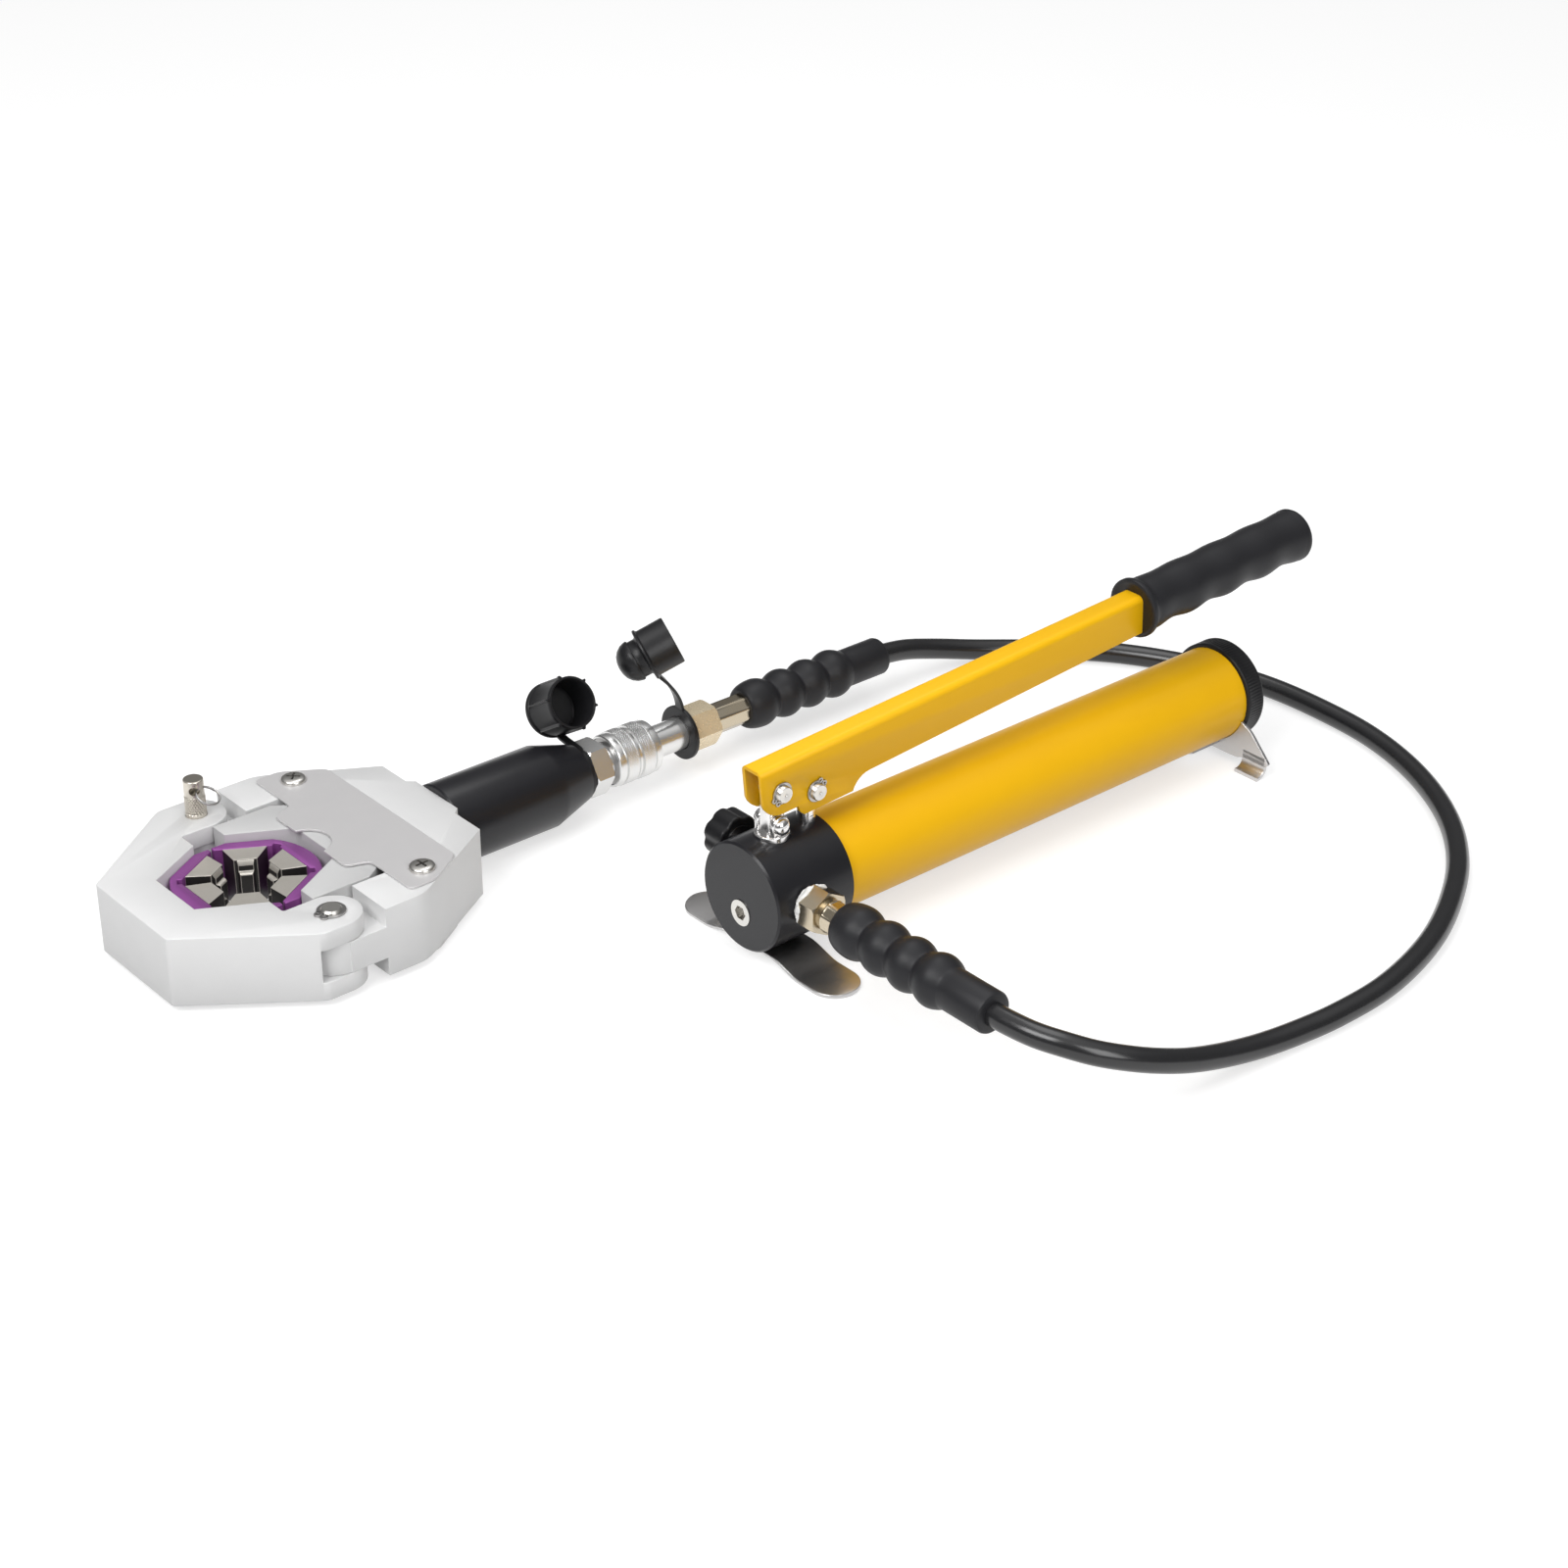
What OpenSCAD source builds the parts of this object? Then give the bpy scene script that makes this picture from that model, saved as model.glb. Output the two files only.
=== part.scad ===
// Hand-pumped hydraulic hose crimper: lever pump, hose, quick coupler and hinged crimping head.
// The pump and the head lie side by side on the floor, both axes along Y, noses towards -Y.

/* [Layout] */
// Height of the pump axis above the floor
pump_axis_h = 41; // [38:0.5:60]
// Distance between the pump axis and the head axis
axis_spacing = 198.5; // [185:0.5:260]
// Distance from the pump's front face forward to the head's pin line
head_lead = 191; // [150:1:260]

/* [Pump body] */
// Diameter of the black pump head
pump_head_d = 67; // [64:0.5:74]
// Length of the pump head
pump_head_l = 56; // [56:0.5:80]
// Chamfer round the pump head's front face
pump_head_chamfer = 1.2; // [0.5:0.1:3]
// Outside diameter of the reservoir tube
tube_d = 60; // [56:0.5:63]
// Wall of the reservoir tube
tube_wall = 2.5; // [1.5:0.1:4]
// Length of the reservoir tube
tube_l = 336; // [250:1:420]
// Length of the spigots that enter the tube
spigot_l = 14; // [10:0.5:24]
// Diameter of the knurled filler cap
cap_d = 65; // [62:0.5:70]
// Length of the filler cap
cap_l = 14; // [10:0.5:24]
// Section of the filler cap's seal ring
cap_seal_w = 3; // [2:0.1:4]

/* [Pump ports] */
// Distance of the hose fitting from the pump's front face
fitting_y = 23; // [20:0.5:30]
// Height of the hose fitting above the pump axis
fitting_z = 2.5; // [-4:0.5:6]
// Radius of the hose fitting's thread
thread_r = 8; // [6:0.1:10]
// Depth of the hose fitting's port
port_depth = 14; // [10:0.5:18]
// Distance of the release knob from the pump's front face
knob_y = 28; // [24:0.5:34]
// Height of the release knob above the pump axis
knob_z = 12; // [6:0.5:14]
// Diameter of the release knob
knob_d = 30; // [22:0.5:36]
// Length of the release knob
knob_l = 16; // [10:0.5:24]
// Diameter of the release valve's stem
stem_d = 8; // [5:0.1:10]
// Distance of the relief plug below the pump axis
relief_drop = 10.1; // [8:0.1:14]
// Diameter of the relief plug
relief_d = 16; // [12:0.1:20]
// Length of the relief plug
relief_l = 14; // [10:0.5:16]

/* [Lever] */
// Distance of the fulcrum from the pump's front face
fulcrum_y = 23; // [20:0.5:26]
// Height of the fulcrum pin above the pump axis
fulcrum_h = 63; // [62:0.5:75]
// Distance of the plunger from the pump's front face
plunger_y = 48.5; // [48:0.1:50]
// Height of the plunger pin above the pump axis with the lever down
plunger_pin_h = 55.4; // [54:0.1:58]
// Diameter of the plunger
plunger_d = 11; // [9:0.1:12]
// Diameter of the two lever pins
lever_pin_d = 10; // [8:0.1:11]
// Slope of the lever's top face with the lever down, in degrees
lever_tilt = 2.8; // [0:0.1:8]
// Outside width of the lever channel
lever_w = 16.5; // [15.5:0.1:20]
// Sheet thickness of the lever channel
lever_t = 2.5; // [1.5:0.1:3]
// Top face of the lever above the fulcrum pin
lever_top = 17.7; // [16:0.1:24]
// Length of the channel from the fulcrum pin to its end in the grip
lever_l = 415; // [360:1:430]
// Radius of the lever's front lobe
lobe_r = 14; // [12:0.1:14.5]
// Depth of the plunger tab below the fulcrum pin
tab_drop = 21; // [19:0.1:23]
// Depth of the lever's lower edge behind the tab
root_drop = 12.2; // [10:0.1:14]
// Depth of the lever's lower edge where it enters the grip
end_drop = 6.9; // [4:0.1:9]
// Distance of the rubber grip from the fulcrum pin
grip_start = 290; // [260:1:320]
// Length of the rubber grip
grip_l = 148; // [130:1:170]
// Diameter of the rubber grip
grip_d = 34; // [32:0.5:42]

/* [Stands] */
// Sheet thickness of the stands
stand_t = 2.5; // [1.5:0.1:4]
// Half span of the front stand's wings
wing_span = 70; // [60:0.5:90]
// Width of the front stand along the pump
wing_w = 31; // [24:0.5:36]
// Distance of the front stand from the pump's front face
wing_y = 7; // [4:0.5:12]
// Half span of the rear stand's feet
rear_span = 51; // [44:0.5:70]
// Width of each rear foot
rear_foot_w = 19; // [12:0.5:24]
// Length of each rear foot's lip
rear_lip = 9; // [6:0.5:14]

/* [Hose] */
// Outside diameter of the hose
hose_d = 14; // [10:0.5:16]
// Diameter of the crimped ferrules
ferrule_d = 20; // [16:0.5:21]
// Length of the ferrule at the pump
pump_ferrule_l = 22; // [18:0.5:30]
// Length of the ferrule at the head
head_ferrule_l = 38; // [30:0.5:46]
// Diameter of a hose grip over its bulbs
bulb_d = 32; // [28:0.5:38]
// Diameter of a hose grip's tail
tail_d = 25; // [23:0.5:27]
// Length of a hose grip
hose_grip_l = 122; // [110:1:140]
// Spacing of the bulbs on a hose grip
bulb_pitch = 21.2; // [19:0.1:23]
// Width across flats of the pump fitting's nut
fitting_af = 24; // [22:0.5:30]
// Length of the pump fitting's nut
fitting_l = 14; // [10:0.5:20]

/* [Crimping head] */
// Thickness of the head body and yoke
head_t = 44; // [40:0.5:52]
// Half width of the head over its ears
head_half_w = 89.5; // [87:0.5:100]
// Distance of each pin from the head axis
pin_v = 72; // [70:0.5:74]
// Radius of the yoke's ears
ear_r = 17.5; // [16:0.1:18]
// Thickness of each yoke ear
ear_t = 11.7; // [9:0.1:14]
// Half width of the yoke's nose
nose_half = 38.4; // [30:0.1:44]
// Distance of the nose ahead of the pin line
nose_lead = 85.7; // [76:0.1:100]
// Distance of the yoke's shoulders ahead of the pin line
shoulder_lead = 16.5; // [12:0.1:22]
// Half width of the notch's flat
notch_half = 20.7; // [18:0.1:22]
// Distance of the yoke's notch flat ahead of the pin line
notch_lead = 56.8; // [52:0.1:64]
// Half width of the notch's mouth
mouth_half = 41; // [40.4:0.1:44]
// Distance of the yoke's notch mouth ahead of the pin line
mouth_lead = 20.5; // [18:0.1:22]
// Diameter of the hinge pin and of the pull pin
head_pin_d = 12.6; // [10:0.1:14]
// Height of the pull pin above the yoke
pull_pin_rise = 23.8; // [18:0.1:34]
// Half width of the body's rear face
rear_half = 50.5; // [40:0.5:60]
// Distance of the body's rear face behind the pin line
rear_back = 116.5; // [112:0.5:130]
// Distance of the body's side corners behind the pin line
corner_back = 50.5; // [44:0.5:60]
// Distance of the fork's front face behind the pin line
fork_back = 24; // [22:0.5:30]
// Half width of the ram
ram_half = 53.3; // [50:0.1:53.8]
// Side clearance of the ram in the body's channel
ram_side_gap = 2.7; // [0.5:0.1:3]
// Distance of the ram's rear face behind the pin line
ram_back = 55; // [50:0.5:60]
// Distance of the ram's notch flat behind the pin line
ram_notch_back = 35.8; // [33:0.1:40]
// Travel of the ram back from the closed dies
ram_travel = 20; // [10:0.5:21]
// Sheet thickness of the cover plates
plate_t = 1.5; // [1:0.1:3]
// Diameter of the cover screws' heads
screw_head_d = 15.4; // [13:0.1:17]
// Height of the cover screws' heads
screw_head_h = 3; // [2:0.1:4]

/* [Dies] */
// Distance of the die centre ahead of the pin line
die_lead = 11; // [9:0.1:13]
// Gap between the two die halves at rest
die_gap = 1.7; // [1.5:0.1:3]
// Height of the dies
die_h = 33; // [28:0.5:38]
// Radius of a die carrier across its middle
carrier_r = 43.2; // [42:0.1:44.5]
// Half width of a die carrier at the parting line
carrier_half = 40.2; // [39:0.1:40.8]
// Distance of a carrier's slanted flats from the die centre
carrier_flat = 40; // [39:0.1:40.2]
// Distance of a jaw's back from the die centre
jaw_back = 32.5; // [31:0.1:34]
// Distance of a jaw's upper face from the die centre
jaw_face = 19; // [18:0.1:22]
// Distance of a jaw's crimping lip from the die centre
jaw_lip = 15; // [12:0.1:17]

/* [Cylinder and coupler] */
// Diameter of the cylinder barrel
barrel_d = 53; // [50:0.5:60]
// Length of the barrel's straight part
barrel_l = 76; // [70:0.5:90]
// Length of the barrel's cone
barrel_cone_l = 27; // [20:0.5:34]
// Diameter of the barrel's small end
barrel_end_d = 37; // [34:0.5:44]
// Diameter of the piston
piston_d = 40; // [34:0.1:42]
// Diameter of the piston rod
rod_d = 24; // [18:0.1:28]
// Width across flats of the coupler's hex
socket_af = 32; // [28:0.5:34]
// Length of the coupler's hex
socket_hex_l = 13; // [10:0.5:18]
// Length of the coupler's sleeve
sleeve_l = 33.6; // [30:0.1:40]
// Diameter of the coupler's sleeve
sleeve_d = 35.5; // [34:0.1:40]
// Travel of the coupler's sleeve
sleeve_travel = 5; // [3:0.1:5]
// Diameter of the coupler plug's bare part
plug_d = 21; // [20:0.1:23]
// Length of the coupler plug's bare part
plug_l = 29; // [24:0.5:36]
// Width across flats of the hose nut at the head
head_nut_af = 26; // [24:0.5:30]
// Length of the hose nut at the head
head_nut_l = 21; // [16:0.5:26]

/* [Hidden] */
$fn = 64;

// Clearances: pieces that stay put, running fits, free gaps between bodies, and the overrun of every cut
fit_gap = 0.1;
run_gap = 0.06;
free_gap = 0.3;
over = 1;

// Pump sizes that follow from the ones above
pump_r = pump_head_d / 2;
tube_r = tube_d / 2;
tube_in_r = tube_r - tube_wall;
tube_end = pump_head_l + tube_l;
fit_wall = pump_r * cos(asin(fitting_z / pump_r));
knob_wall = pump_r * cos(asin(knob_z / pump_r));
plunger_r = plunger_d / 2;
lever_pin_r = lever_pin_d / 2;

// Bores inside the pump head
chamber_floor = -8;
plunger_foot_gap = 1;
gallery_r = 2.6;
gallery_z = -4;
gallery_y = 18;
valve_ball_r = 2.3;
valve_wire_r = 0.35;
valve_coil_r = 1.7;
valve_turns = 4;
valve_spring_l = 6;
suction_z = -18;
suction_r = 3;
suction_wall = 1;
suction_reach_share = 0.8;
relief_bore_r = 4;
relief_wire_r = 0.6;
relief_coil_r = 3;
relief_turns = 5;
relief_spring_l = 10;
relief_ball_r = 3.5;
relief_hex_af = 8;
relief_hex_depth = 6;
relief_proud = 0.6;
plunger_seal_w = 2;
plunger_seal_h = 3;
plunger_seal_top = 6;
stem_depth = 15;
knob_gap = 3;
knob_scallops = 7;
knob_scallop_share = 0.26;
knob_scallop_reach_share = 1.16;

// Fulcrum post
base_r = 10.5;
base_depth = 6;
base_rise = 2;
base_pin_rise = 7.5;
base_pin_r = 4;
base_pin_head_r = 5.2;
base_pin_head_l = 3;
base_cheek_r = 6.5;
base_half_x = 9.5;
link_half_x = 4.7;
link_eye_r = 9.3;
link_foot_r = 6.2;
link_half_y = 6;
base_pin_h = pump_r + base_pin_rise;

// Lever outline, in the lever's own frame with the fulcrum pin at its origin
lever_front = 14.5;
lever_bend_r = 4;
notch_u = 12;
notch_run = 1.2;
tab_corner = 3;
root_u = 66;
root_fillet = 14;
lobe_from = 195;
lobe_step = 15;
grip_wave = 0.9;
grip_waves = 5;
grip_steps = 40;
grip_rim_r = 2;
grip_rim_l = 8;
tang_drop = 4;
plunger_du = plunger_y - fulcrum_y;
plunger_dw = plunger_pin_h - fulcrum_h;
plunger_u = plunger_du * cos(lever_tilt) + plunger_dw * sin(lever_tilt);
plunger_w = plunger_dw * cos(lever_tilt) - plunger_du * sin(lever_tilt);
tab_arc = 180 - asin((root_fillet - tab_drop + root_drop) / root_fillet);
lever_in = lever_w / 2 - lever_t;
grip_w = (lever_top - tang_drop) / 2;
tang_start = grip_start + grip_rim_l / 2;
lever_reach = fulcrum_y + (grip_start + grip_l) * cos(lever_tilt) - grip_w * sin(lever_tilt);

// Lever pins, their clips and the plunger's slotted eye
clip_t = 1.2;
clip_r = 7.6;
clip_groove = 0.7;
clip_mouth = 3;
pin_end = 3;
lever_pin_half = lever_w / 2 + fit_gap + clip_t + pin_end;
eye_r = 10.6;
eye_half_x = 5;
eye_lift = 0.3;
slot_back = 1.1;
slot_front = 2.6;
flat_drop = 18;

// Stands
wing_flat = 16;
wing_foot = 40;
foot_screw_d = 6;
foot_screw_head_d = 10;
foot_screw_head_h = 2.6;
foot_screw_l = 12;
foot_screw_shares = [0.25, 0.78];
wing_drop = pump_axis_h - pump_r;
rear_plate_y = tube_end - stand_t - fit_gap;
rear_tab_l = 26;
rear_tab_half = 12;
rear_screw_back = 15;
rear_screw_head_h = 4.5;
rear_screw_head_d = 14;
rear_saddle_half = 27;
rear_neck = 10;
rear_bend_r = 3;

// Hose ends
nut_chamfer = 1;
collar_l = 2;
tape_l = 2;
tape_proud = 4.4;
thread_l = 12;
ferrule_in = 14;
ferrule_ribs = 9;
ferrule_rib_w = 2.4;
ferrule_rib_depth = 0.6;
bulb_first = 16;
bulbs = 4;
bulb_steps = 6;
waist_r = 13.2;
grip_nose_r = 11.4;
tail_mouth_r = 9;
tail_mouth_l = 14;
ferrule_bore_l = ferrule_in + fit_gap;
pump_nut_x = fit_wall + tape_l;
pump_ferrule_x = pump_nut_x + fitting_l + collar_l;
pump_grip_x = pump_ferrule_x + pump_ferrule_l - ferrule_in;

// Head sizes that follow from the ones above
head_axis_h = max(barrel_d / 2, head_t / 2 + plate_t + screw_head_h);
head_half_t = head_t / 2;
lug_t = head_t - 2 * ear_t - 2 * free_gap;
lug_step = 0.5;
lug_r = ear_r - lug_step;
lug_slot_gap = 1;
head_pin_r = head_pin_d / 2;
channel_half = ram_half + ram_side_gap;
channel_back = ram_back + ram_travel + 2 * over;
ram_half_t = head_half_t - free_gap;
ram_tip = 0.4;
ram_chamfer_y = 38;
ram_rear_half = 42;
rear_land = 4.5;
rear_land_half = 21.5;
rear_land_foot = 25.5;
body_corner_r = 25;
nose_corner_r = 3;
shoulder_r = 12;
step_corner_r = 1.5;
pin_clip_t = 1.2;
pin_clip_r = 9.5;
pin_clip_mouth = 4;
pin_clip_hole_r = 0.8;
pin_clip_ear_r = 2;
pin_clip_turn = -78;
pin_end_l = 1.2;
pin_groove = 0.8;

// Pull pin and its split ring
pull_pin_chamfer = 0.8;
pull_hole_r = 2.7;
pull_hole_drop = 6;
pull_hole_off = 3.2;
ring_r = 7.2;
ring_wire_r = 0.7;
ring_az = 25;
ring_tilt = 62;

// Cover plates
plate_front = 46;
plate_rear = 87.5;
plate_half = 82.5;
plate_rear_half = 67;
plate_shoulder = 63;
plate_corner_r = 4;
tongue_front = 32;
tongue_half = 37.5;
tongue_root_half = 42;
tongue_cut_r = 15;
tongue_cut_y = 29.5;
cover_screw_x = 67.5;
cover_screw_y = 64.2;
cover_screw_r = 2.5;
cover_screw_l = 10;
cover_screw_top_share = 0.72;
cover_slot_w = 1.2;
cover_slot_l = 8.6;
cover_slot_depth = 1.1;

// Dies
die_slot_w = 5;
die_slot_in = 24;
die_slot_out = 38.9;
jaw_back_half = 13;
jaw_face_half = 7;
jaw_lip_half = 4.6;
jaw_lip_h = 18;

// Cylinder, piston and return spring
barrel_front = rear_back + rear_land;
barrel_wall_end = 20;
gland_l = 26;
gland_r = 19;
gland_wall = 5;
piston_l = 18;
piston_rest = ram_travel + 1;
piston_seal_w = 2.5;
port_r = 7;
rod_tip_r = 8;
rod_tip_l = 12;
return_wire_r = 1.5;
return_turns = 8;
return_coil_r = 16.5;
barrel_shoulder = barrel_front + barrel_l;
barrel_end = barrel_shoulder + barrel_cone_l;
bore_front = barrel_front + gland_wall;
bore_end = barrel_end - barrel_wall_end;
piston_back = bore_end - piston_rest;
piston_front = piston_back - piston_l;

// Coupler, along the head axis behind the barrel
strap_ring_t = 3;
strap_ring_gap = 0.5;
neck_r = 12.5;
socket_bore_r = 9.4;
socket_thread_l = 14;
sleeve_room = 0.4;
sleeve_shoulder = 12;
sleeve_room_r = 15.4;
sleeve_ring_t = 1.6;
sleeve_wire_r = 0.6;
sleeve_turns = 5;
sleeve_steps = 12;
sleeve_knurls = 2;
sleeve_groove_l = 3;
sleeve_groove_depth = 1.2;
ball_r = 1.9;
ball_count = 6;
ball_place_r = 10.7;
ball_groove = 0.7;
plug_nose_l = 24;
hex_front = barrel_end + strap_ring_t + 2 * strap_ring_gap;
hex_back = hex_front + socket_hex_l;
sleeve_front = hex_back + sleeve_travel + sleeve_room;
sleeve_back = sleeve_front + sleeve_l;
socket_back = sleeve_back - over;
ball_y = sleeve_back - sleeve_shoulder / 2;
plug_back = sleeve_back + plug_l;
head_nut_back = plug_back + head_nut_l;
head_grip_front = head_nut_back + head_ferrule_l - ferrule_in;

// Dust caps
cup_r = 16.5;
cup_l = 26;
cup_wall = 1.7;
cup_rib = 1.2;
cup_ribs = 6;
cup_back_r = 17.5;
cup_back_t = 3;
cup_tilt = 32;
cup_x = -25.4;
cup_z = 33.4;
strap_w = 7.5;
strap_t = 2;
strap_ring_r = 17;
dome_r = 13.3;
dome_l = 8;
dome_rise = 10;
flange_r = 17;
flange_t = 2;
stopper_cup_r = 15.5;
stopper_cup_l = 18.5;
stopper_back = 25.4;
stopper_rise = 63.7;
stopper_yaw = -25.5;
stopper_pitch = 25.3;
loose_ring_r = 17.8;
loose_ring_y = plug_back - strap_ring_t - strap_ring_gap;

// Places of the pump and of the head: the origin lies under the middle of the rigid parts
pump_x = (axis_spacing + head_half_w - wing_span) / 2;
pump_y = (head_lead + nose_lead - lever_reach) / 2;
head_x = pump_x - axis_spacing;
head_y = pump_y - head_lead;

// Hose route between the two grip tails, chosen points on the floor plane
hose_sides = 10;
hose_steps = 2;
hose_route = [
    [301, -68.5, 43.5], [318, -65.5, 43], [333, -58.5, 41.5], [345.5, -48, 38], [355, -34, 33.5],
    [361.5, -16.5, 27.5], [365.5, 5, 20.5], [368, 31, 14], [370.5, 59, 9.5], [373, 88, 7.5],
    [375, 116, 7.2], [374, 153, 7.2], [367, 190, 7.2], [355, 226, 7.2], [337, 262, 7.2],
    [314, 297, 7.2], [285, 328, 7.2], [251, 353, 7.2], [213, 372, 7.2], [172, 384, 7.2],
    [130, 388, 7.2], [89, 387, 7.2], [51, 379, 7.2], [15, 364, 7.2], [-16, 345, 7.2],
    [-42, 322, 7.2], [-63, 297, 7.5], [-78, 270, 10.5], [-86.5, 243, 16.5], [-89.5, 217, 23]
];

function unit(v) = v / norm(v);

// Arc that rounds the corner b between its neighbours a and c
function corner(a, b, c, r, steps = 6) =
    let (u = unit(a - b), v = unit(c - b), half = acos(u * v) / 2, o = b + unit(u + v) * r / sin(half))
    let (p = b + u * r / tan(half) - o, q = b + v * r / tan(half) - o)
    let (from = atan2(p[1], p[0]), turn = (atan2(q[1], q[0]) - from + 540) % 360 - 180)
    [for (i = [0:steps]) o + r * [cos(from + turn * i / steps), sin(from + turn * i / steps)]];

// Outline whose corners take the given radii, 0 for a sharp one
function rounded(pts, radii) =
    let (n = len(pts))
    [for (i = [0:n - 1]) each radii[i] == 0 ? [pts[i]]
        : corner(pts[(i + n - 1) % n], pts[i], pts[(i + 1) % n], radii[i])];

// Right half of an outline joined with its mirror image
function both_sides(pts) = concat(pts, [for (i = [len(pts) - 1:-1:0]) [-pts[i][0], pts[i][1]]]);

// Smooth curve through points, with a few steps between each pair
function curve(pts, steps) =
    let (n = len(pts))
    [for (i = [0:n - 2]) for (k = [0:steps - (i == n - 2 ? 0 : 1)])
        let (a = pts[max(i - 1, 0)], b = pts[i], c = pts[i + 1], d = pts[min(i + 2, n - 1)], t = k / steps)
        b + t * ((c - a) / 2 + t * (a - 2.5 * b + 2 * c - d / 2 + t * (1.5 * (b - c) + (d - a) / 2)))];

// Points of a coil about Z
function coil_path(r, l, turns, steps = 8) =
    [for (i = [0:turns * steps]) let (a = 360 * i / steps)
        [r * cos(a), r * sin(a), l * i / (turns * steps)]];

// Solid tube swept along points, built of triangles
module sweep(pts, r, sides) {
    last = len(pts) - 1;
    end = last * sides;
    rings = [for (i = [0:last])
        let (t = unit(pts[min(i + 1, last)] - pts[max(i - 1, 0)]))
        let (e = unit(cross(t, [0, 0, 1])), f = cross(e, t))
        for (j = [0:sides - 1]) pts[i] + r * (e * cos(360 * j / sides) + f * sin(360 * j / sides))];
    walls = [for (i = [0:last - 1]) for (j = [0:sides - 1])
        let (k = (j + 1) % sides, a = i * sides, b = a + sides)
        each [[a + j, a + k, b + k], [a + j, b + k, b + j]]];
    caps = [for (j = [1:sides - 2]) each [[0, j + 1, j], [end, end + j, end + j + 1]]];
    polyhedron(rings, concat(walls, caps));
}

module at_pump() {
    translate([pump_x, pump_y, pump_axis_h]) children();
}

module at_head() {
    translate([head_x, head_y, head_axis_h]) children();
}

module at_lever() {
    at_pump() translate([0, fulcrum_y, fulcrum_h]) rotate([lever_tilt, 0, 0]) children();
}

module at_dies() {
    at_head() translate([0, -die_lead, 0]) children();
}

module along_y() {
    rotate([-90, 0, 0]) children();
}

module along_x() {
    rotate([0, 90, 0]) children();
}

// Body of revolution about Y from [radius, y] points
module turned_y(pts) {
    along_y() rotate_extrude() polygon(pts);
}

// Round bar across X, centred on the origin
module cross_bar(r, half) {
    translate([-half, 0, 0]) along_x() cylinder(r = r, h = 2 * half);
}

// Outline given in Y and Z, extruded across X
module across_x(w) {
    rotate([90, 0, 90]) linear_extrude(w, center = true) children();
}

module tube(r_out, r_in, l) {
    difference() {
        cylinder(r = r_out, h = l);
        translate([0, 0, -over]) cylinder(r = r_in, h = l + 2 * over);
    }
}

module hex_bar(af, l) {
    cylinder(d = af / cos(30), h = l, $fn = 6);
}

// Hexagon nut with both ends turned to a cone
module chamfered_hex(af, l) {
    rim = af / cos(30) / 2;
    intersection() {
        hex_bar(af, l);
        rotate_extrude() polygon([[0, 0], [rim - nut_chamfer, 0], [rim, nut_chamfer],
            [rim, l - nut_chamfer], [rim - nut_chamfer, l], [0, l]]);
    }
}

// Open retaining clip with a mouth towards +X
module clip(r_out, r_in, t, mouth) {
    difference() {
        tube(r_out, r_in, t);
        translate([0, -mouth / 2, -over]) cube([r_out + over, mouth, t + 2 * over]);
    }
}

module pump_head() {
    color("#26262a") at_pump() difference() {
        turned_y([[0, 0], [pump_r - pump_head_chamfer, 0], [pump_r, pump_head_chamfer],
            [pump_r, pump_head_l], [tube_in_r - fit_gap, pump_head_l],
            [tube_in_r - fit_gap, pump_head_l + spigot_l], [0, pump_head_l + spigot_l]]);
        translate([0, plunger_y, chamber_floor])
            cylinder(r = plunger_r + run_gap, h = pump_r - chamber_floor + over);
        translate([0, plunger_y, pump_r - plunger_seal_top])
            cylinder(r = plunger_r + plunger_seal_w, h = plunger_seal_h);
        translate([0, plunger_y, suction_z - suction_r])
            cylinder(r = gallery_r, h = chamber_floor - suction_z + suction_r + over);
        translate([0, plunger_y, suction_z]) along_y()
            cylinder(r = suction_r + fit_gap, h = pump_head_l + spigot_l - plunger_y + over);
        translate([0, gallery_y, gallery_z]) along_y()
            cylinder(r = gallery_r, h = plunger_y - gallery_y);
        translate([0, fulcrum_y, pump_r - base_depth])
            cylinder(r = base_r + fit_gap, h = base_depth + over);
        translate([0, -over, -relief_drop]) along_y()
            cylinder(r = relief_d / 2 + fit_gap, h = relief_l + over);
        translate([0, 0, -relief_drop]) along_y()
            cylinder(r = relief_bore_r, h = relief_l + relief_spring_l + 2 * relief_ball_r);
        translate([fit_wall - port_depth, fitting_y, fitting_z]) along_x()
            cylinder(r = thread_r + fit_gap, h = port_depth + pump_r);
        translate([0, fitting_y, gallery_z]) along_x()
            cylinder(r = gallery_r, h = pump_r - port_depth + over);
        translate([-pump_r - over, knob_y, knob_z]) along_x()
            cylinder(r = stem_d / 2 + run_gap, h = pump_r - knob_wall + stem_depth + over);
        for (share = foot_screw_shares)
            translate([0, wing_y + wing_w * share, -pump_r - over])
                cylinder(d = foot_screw_d + 2 * fit_gap, h = foot_screw_l + over);
    }
}

module reservoir_tube() {
    color("#e6b022") at_pump() difference() {
        translate([0, pump_head_l, 0]) along_y() tube(tube_r, tube_in_r, tube_l);
        translate([0, rear_plate_y - rear_screw_back, -tube_r - over])
            cylinder(d = foot_screw_d + 2 * fit_gap, h = tube_wall + 2 * over);
    }
}

module reservoir_cap() {
    seal_y = tube_end - spigot_l / 2;
    color("#2a2a2d") at_pump() difference() {
        turned_y([[0, tube_end - spigot_l], [tube_in_r - free_gap, tube_end - spigot_l],
            [tube_in_r - free_gap, tube_end + fit_gap], [cap_d / 2, tube_end + fit_gap],
            [cap_d / 2, tube_end + cap_l - pump_head_chamfer],
            [cap_d / 2 - pump_head_chamfer, tube_end + cap_l], [0, tube_end + cap_l]]);
        translate([0, seal_y, 0]) along_y() tube(tube_r, tube_in_r - cap_seal_w, cap_seal_w);
        translate([0, tube_end - spigot_l - over, 0]) along_y()
            cylinder(r = tube_in_r - 2 * cap_seal_w, h = spigot_l + over);
    }
}

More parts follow.
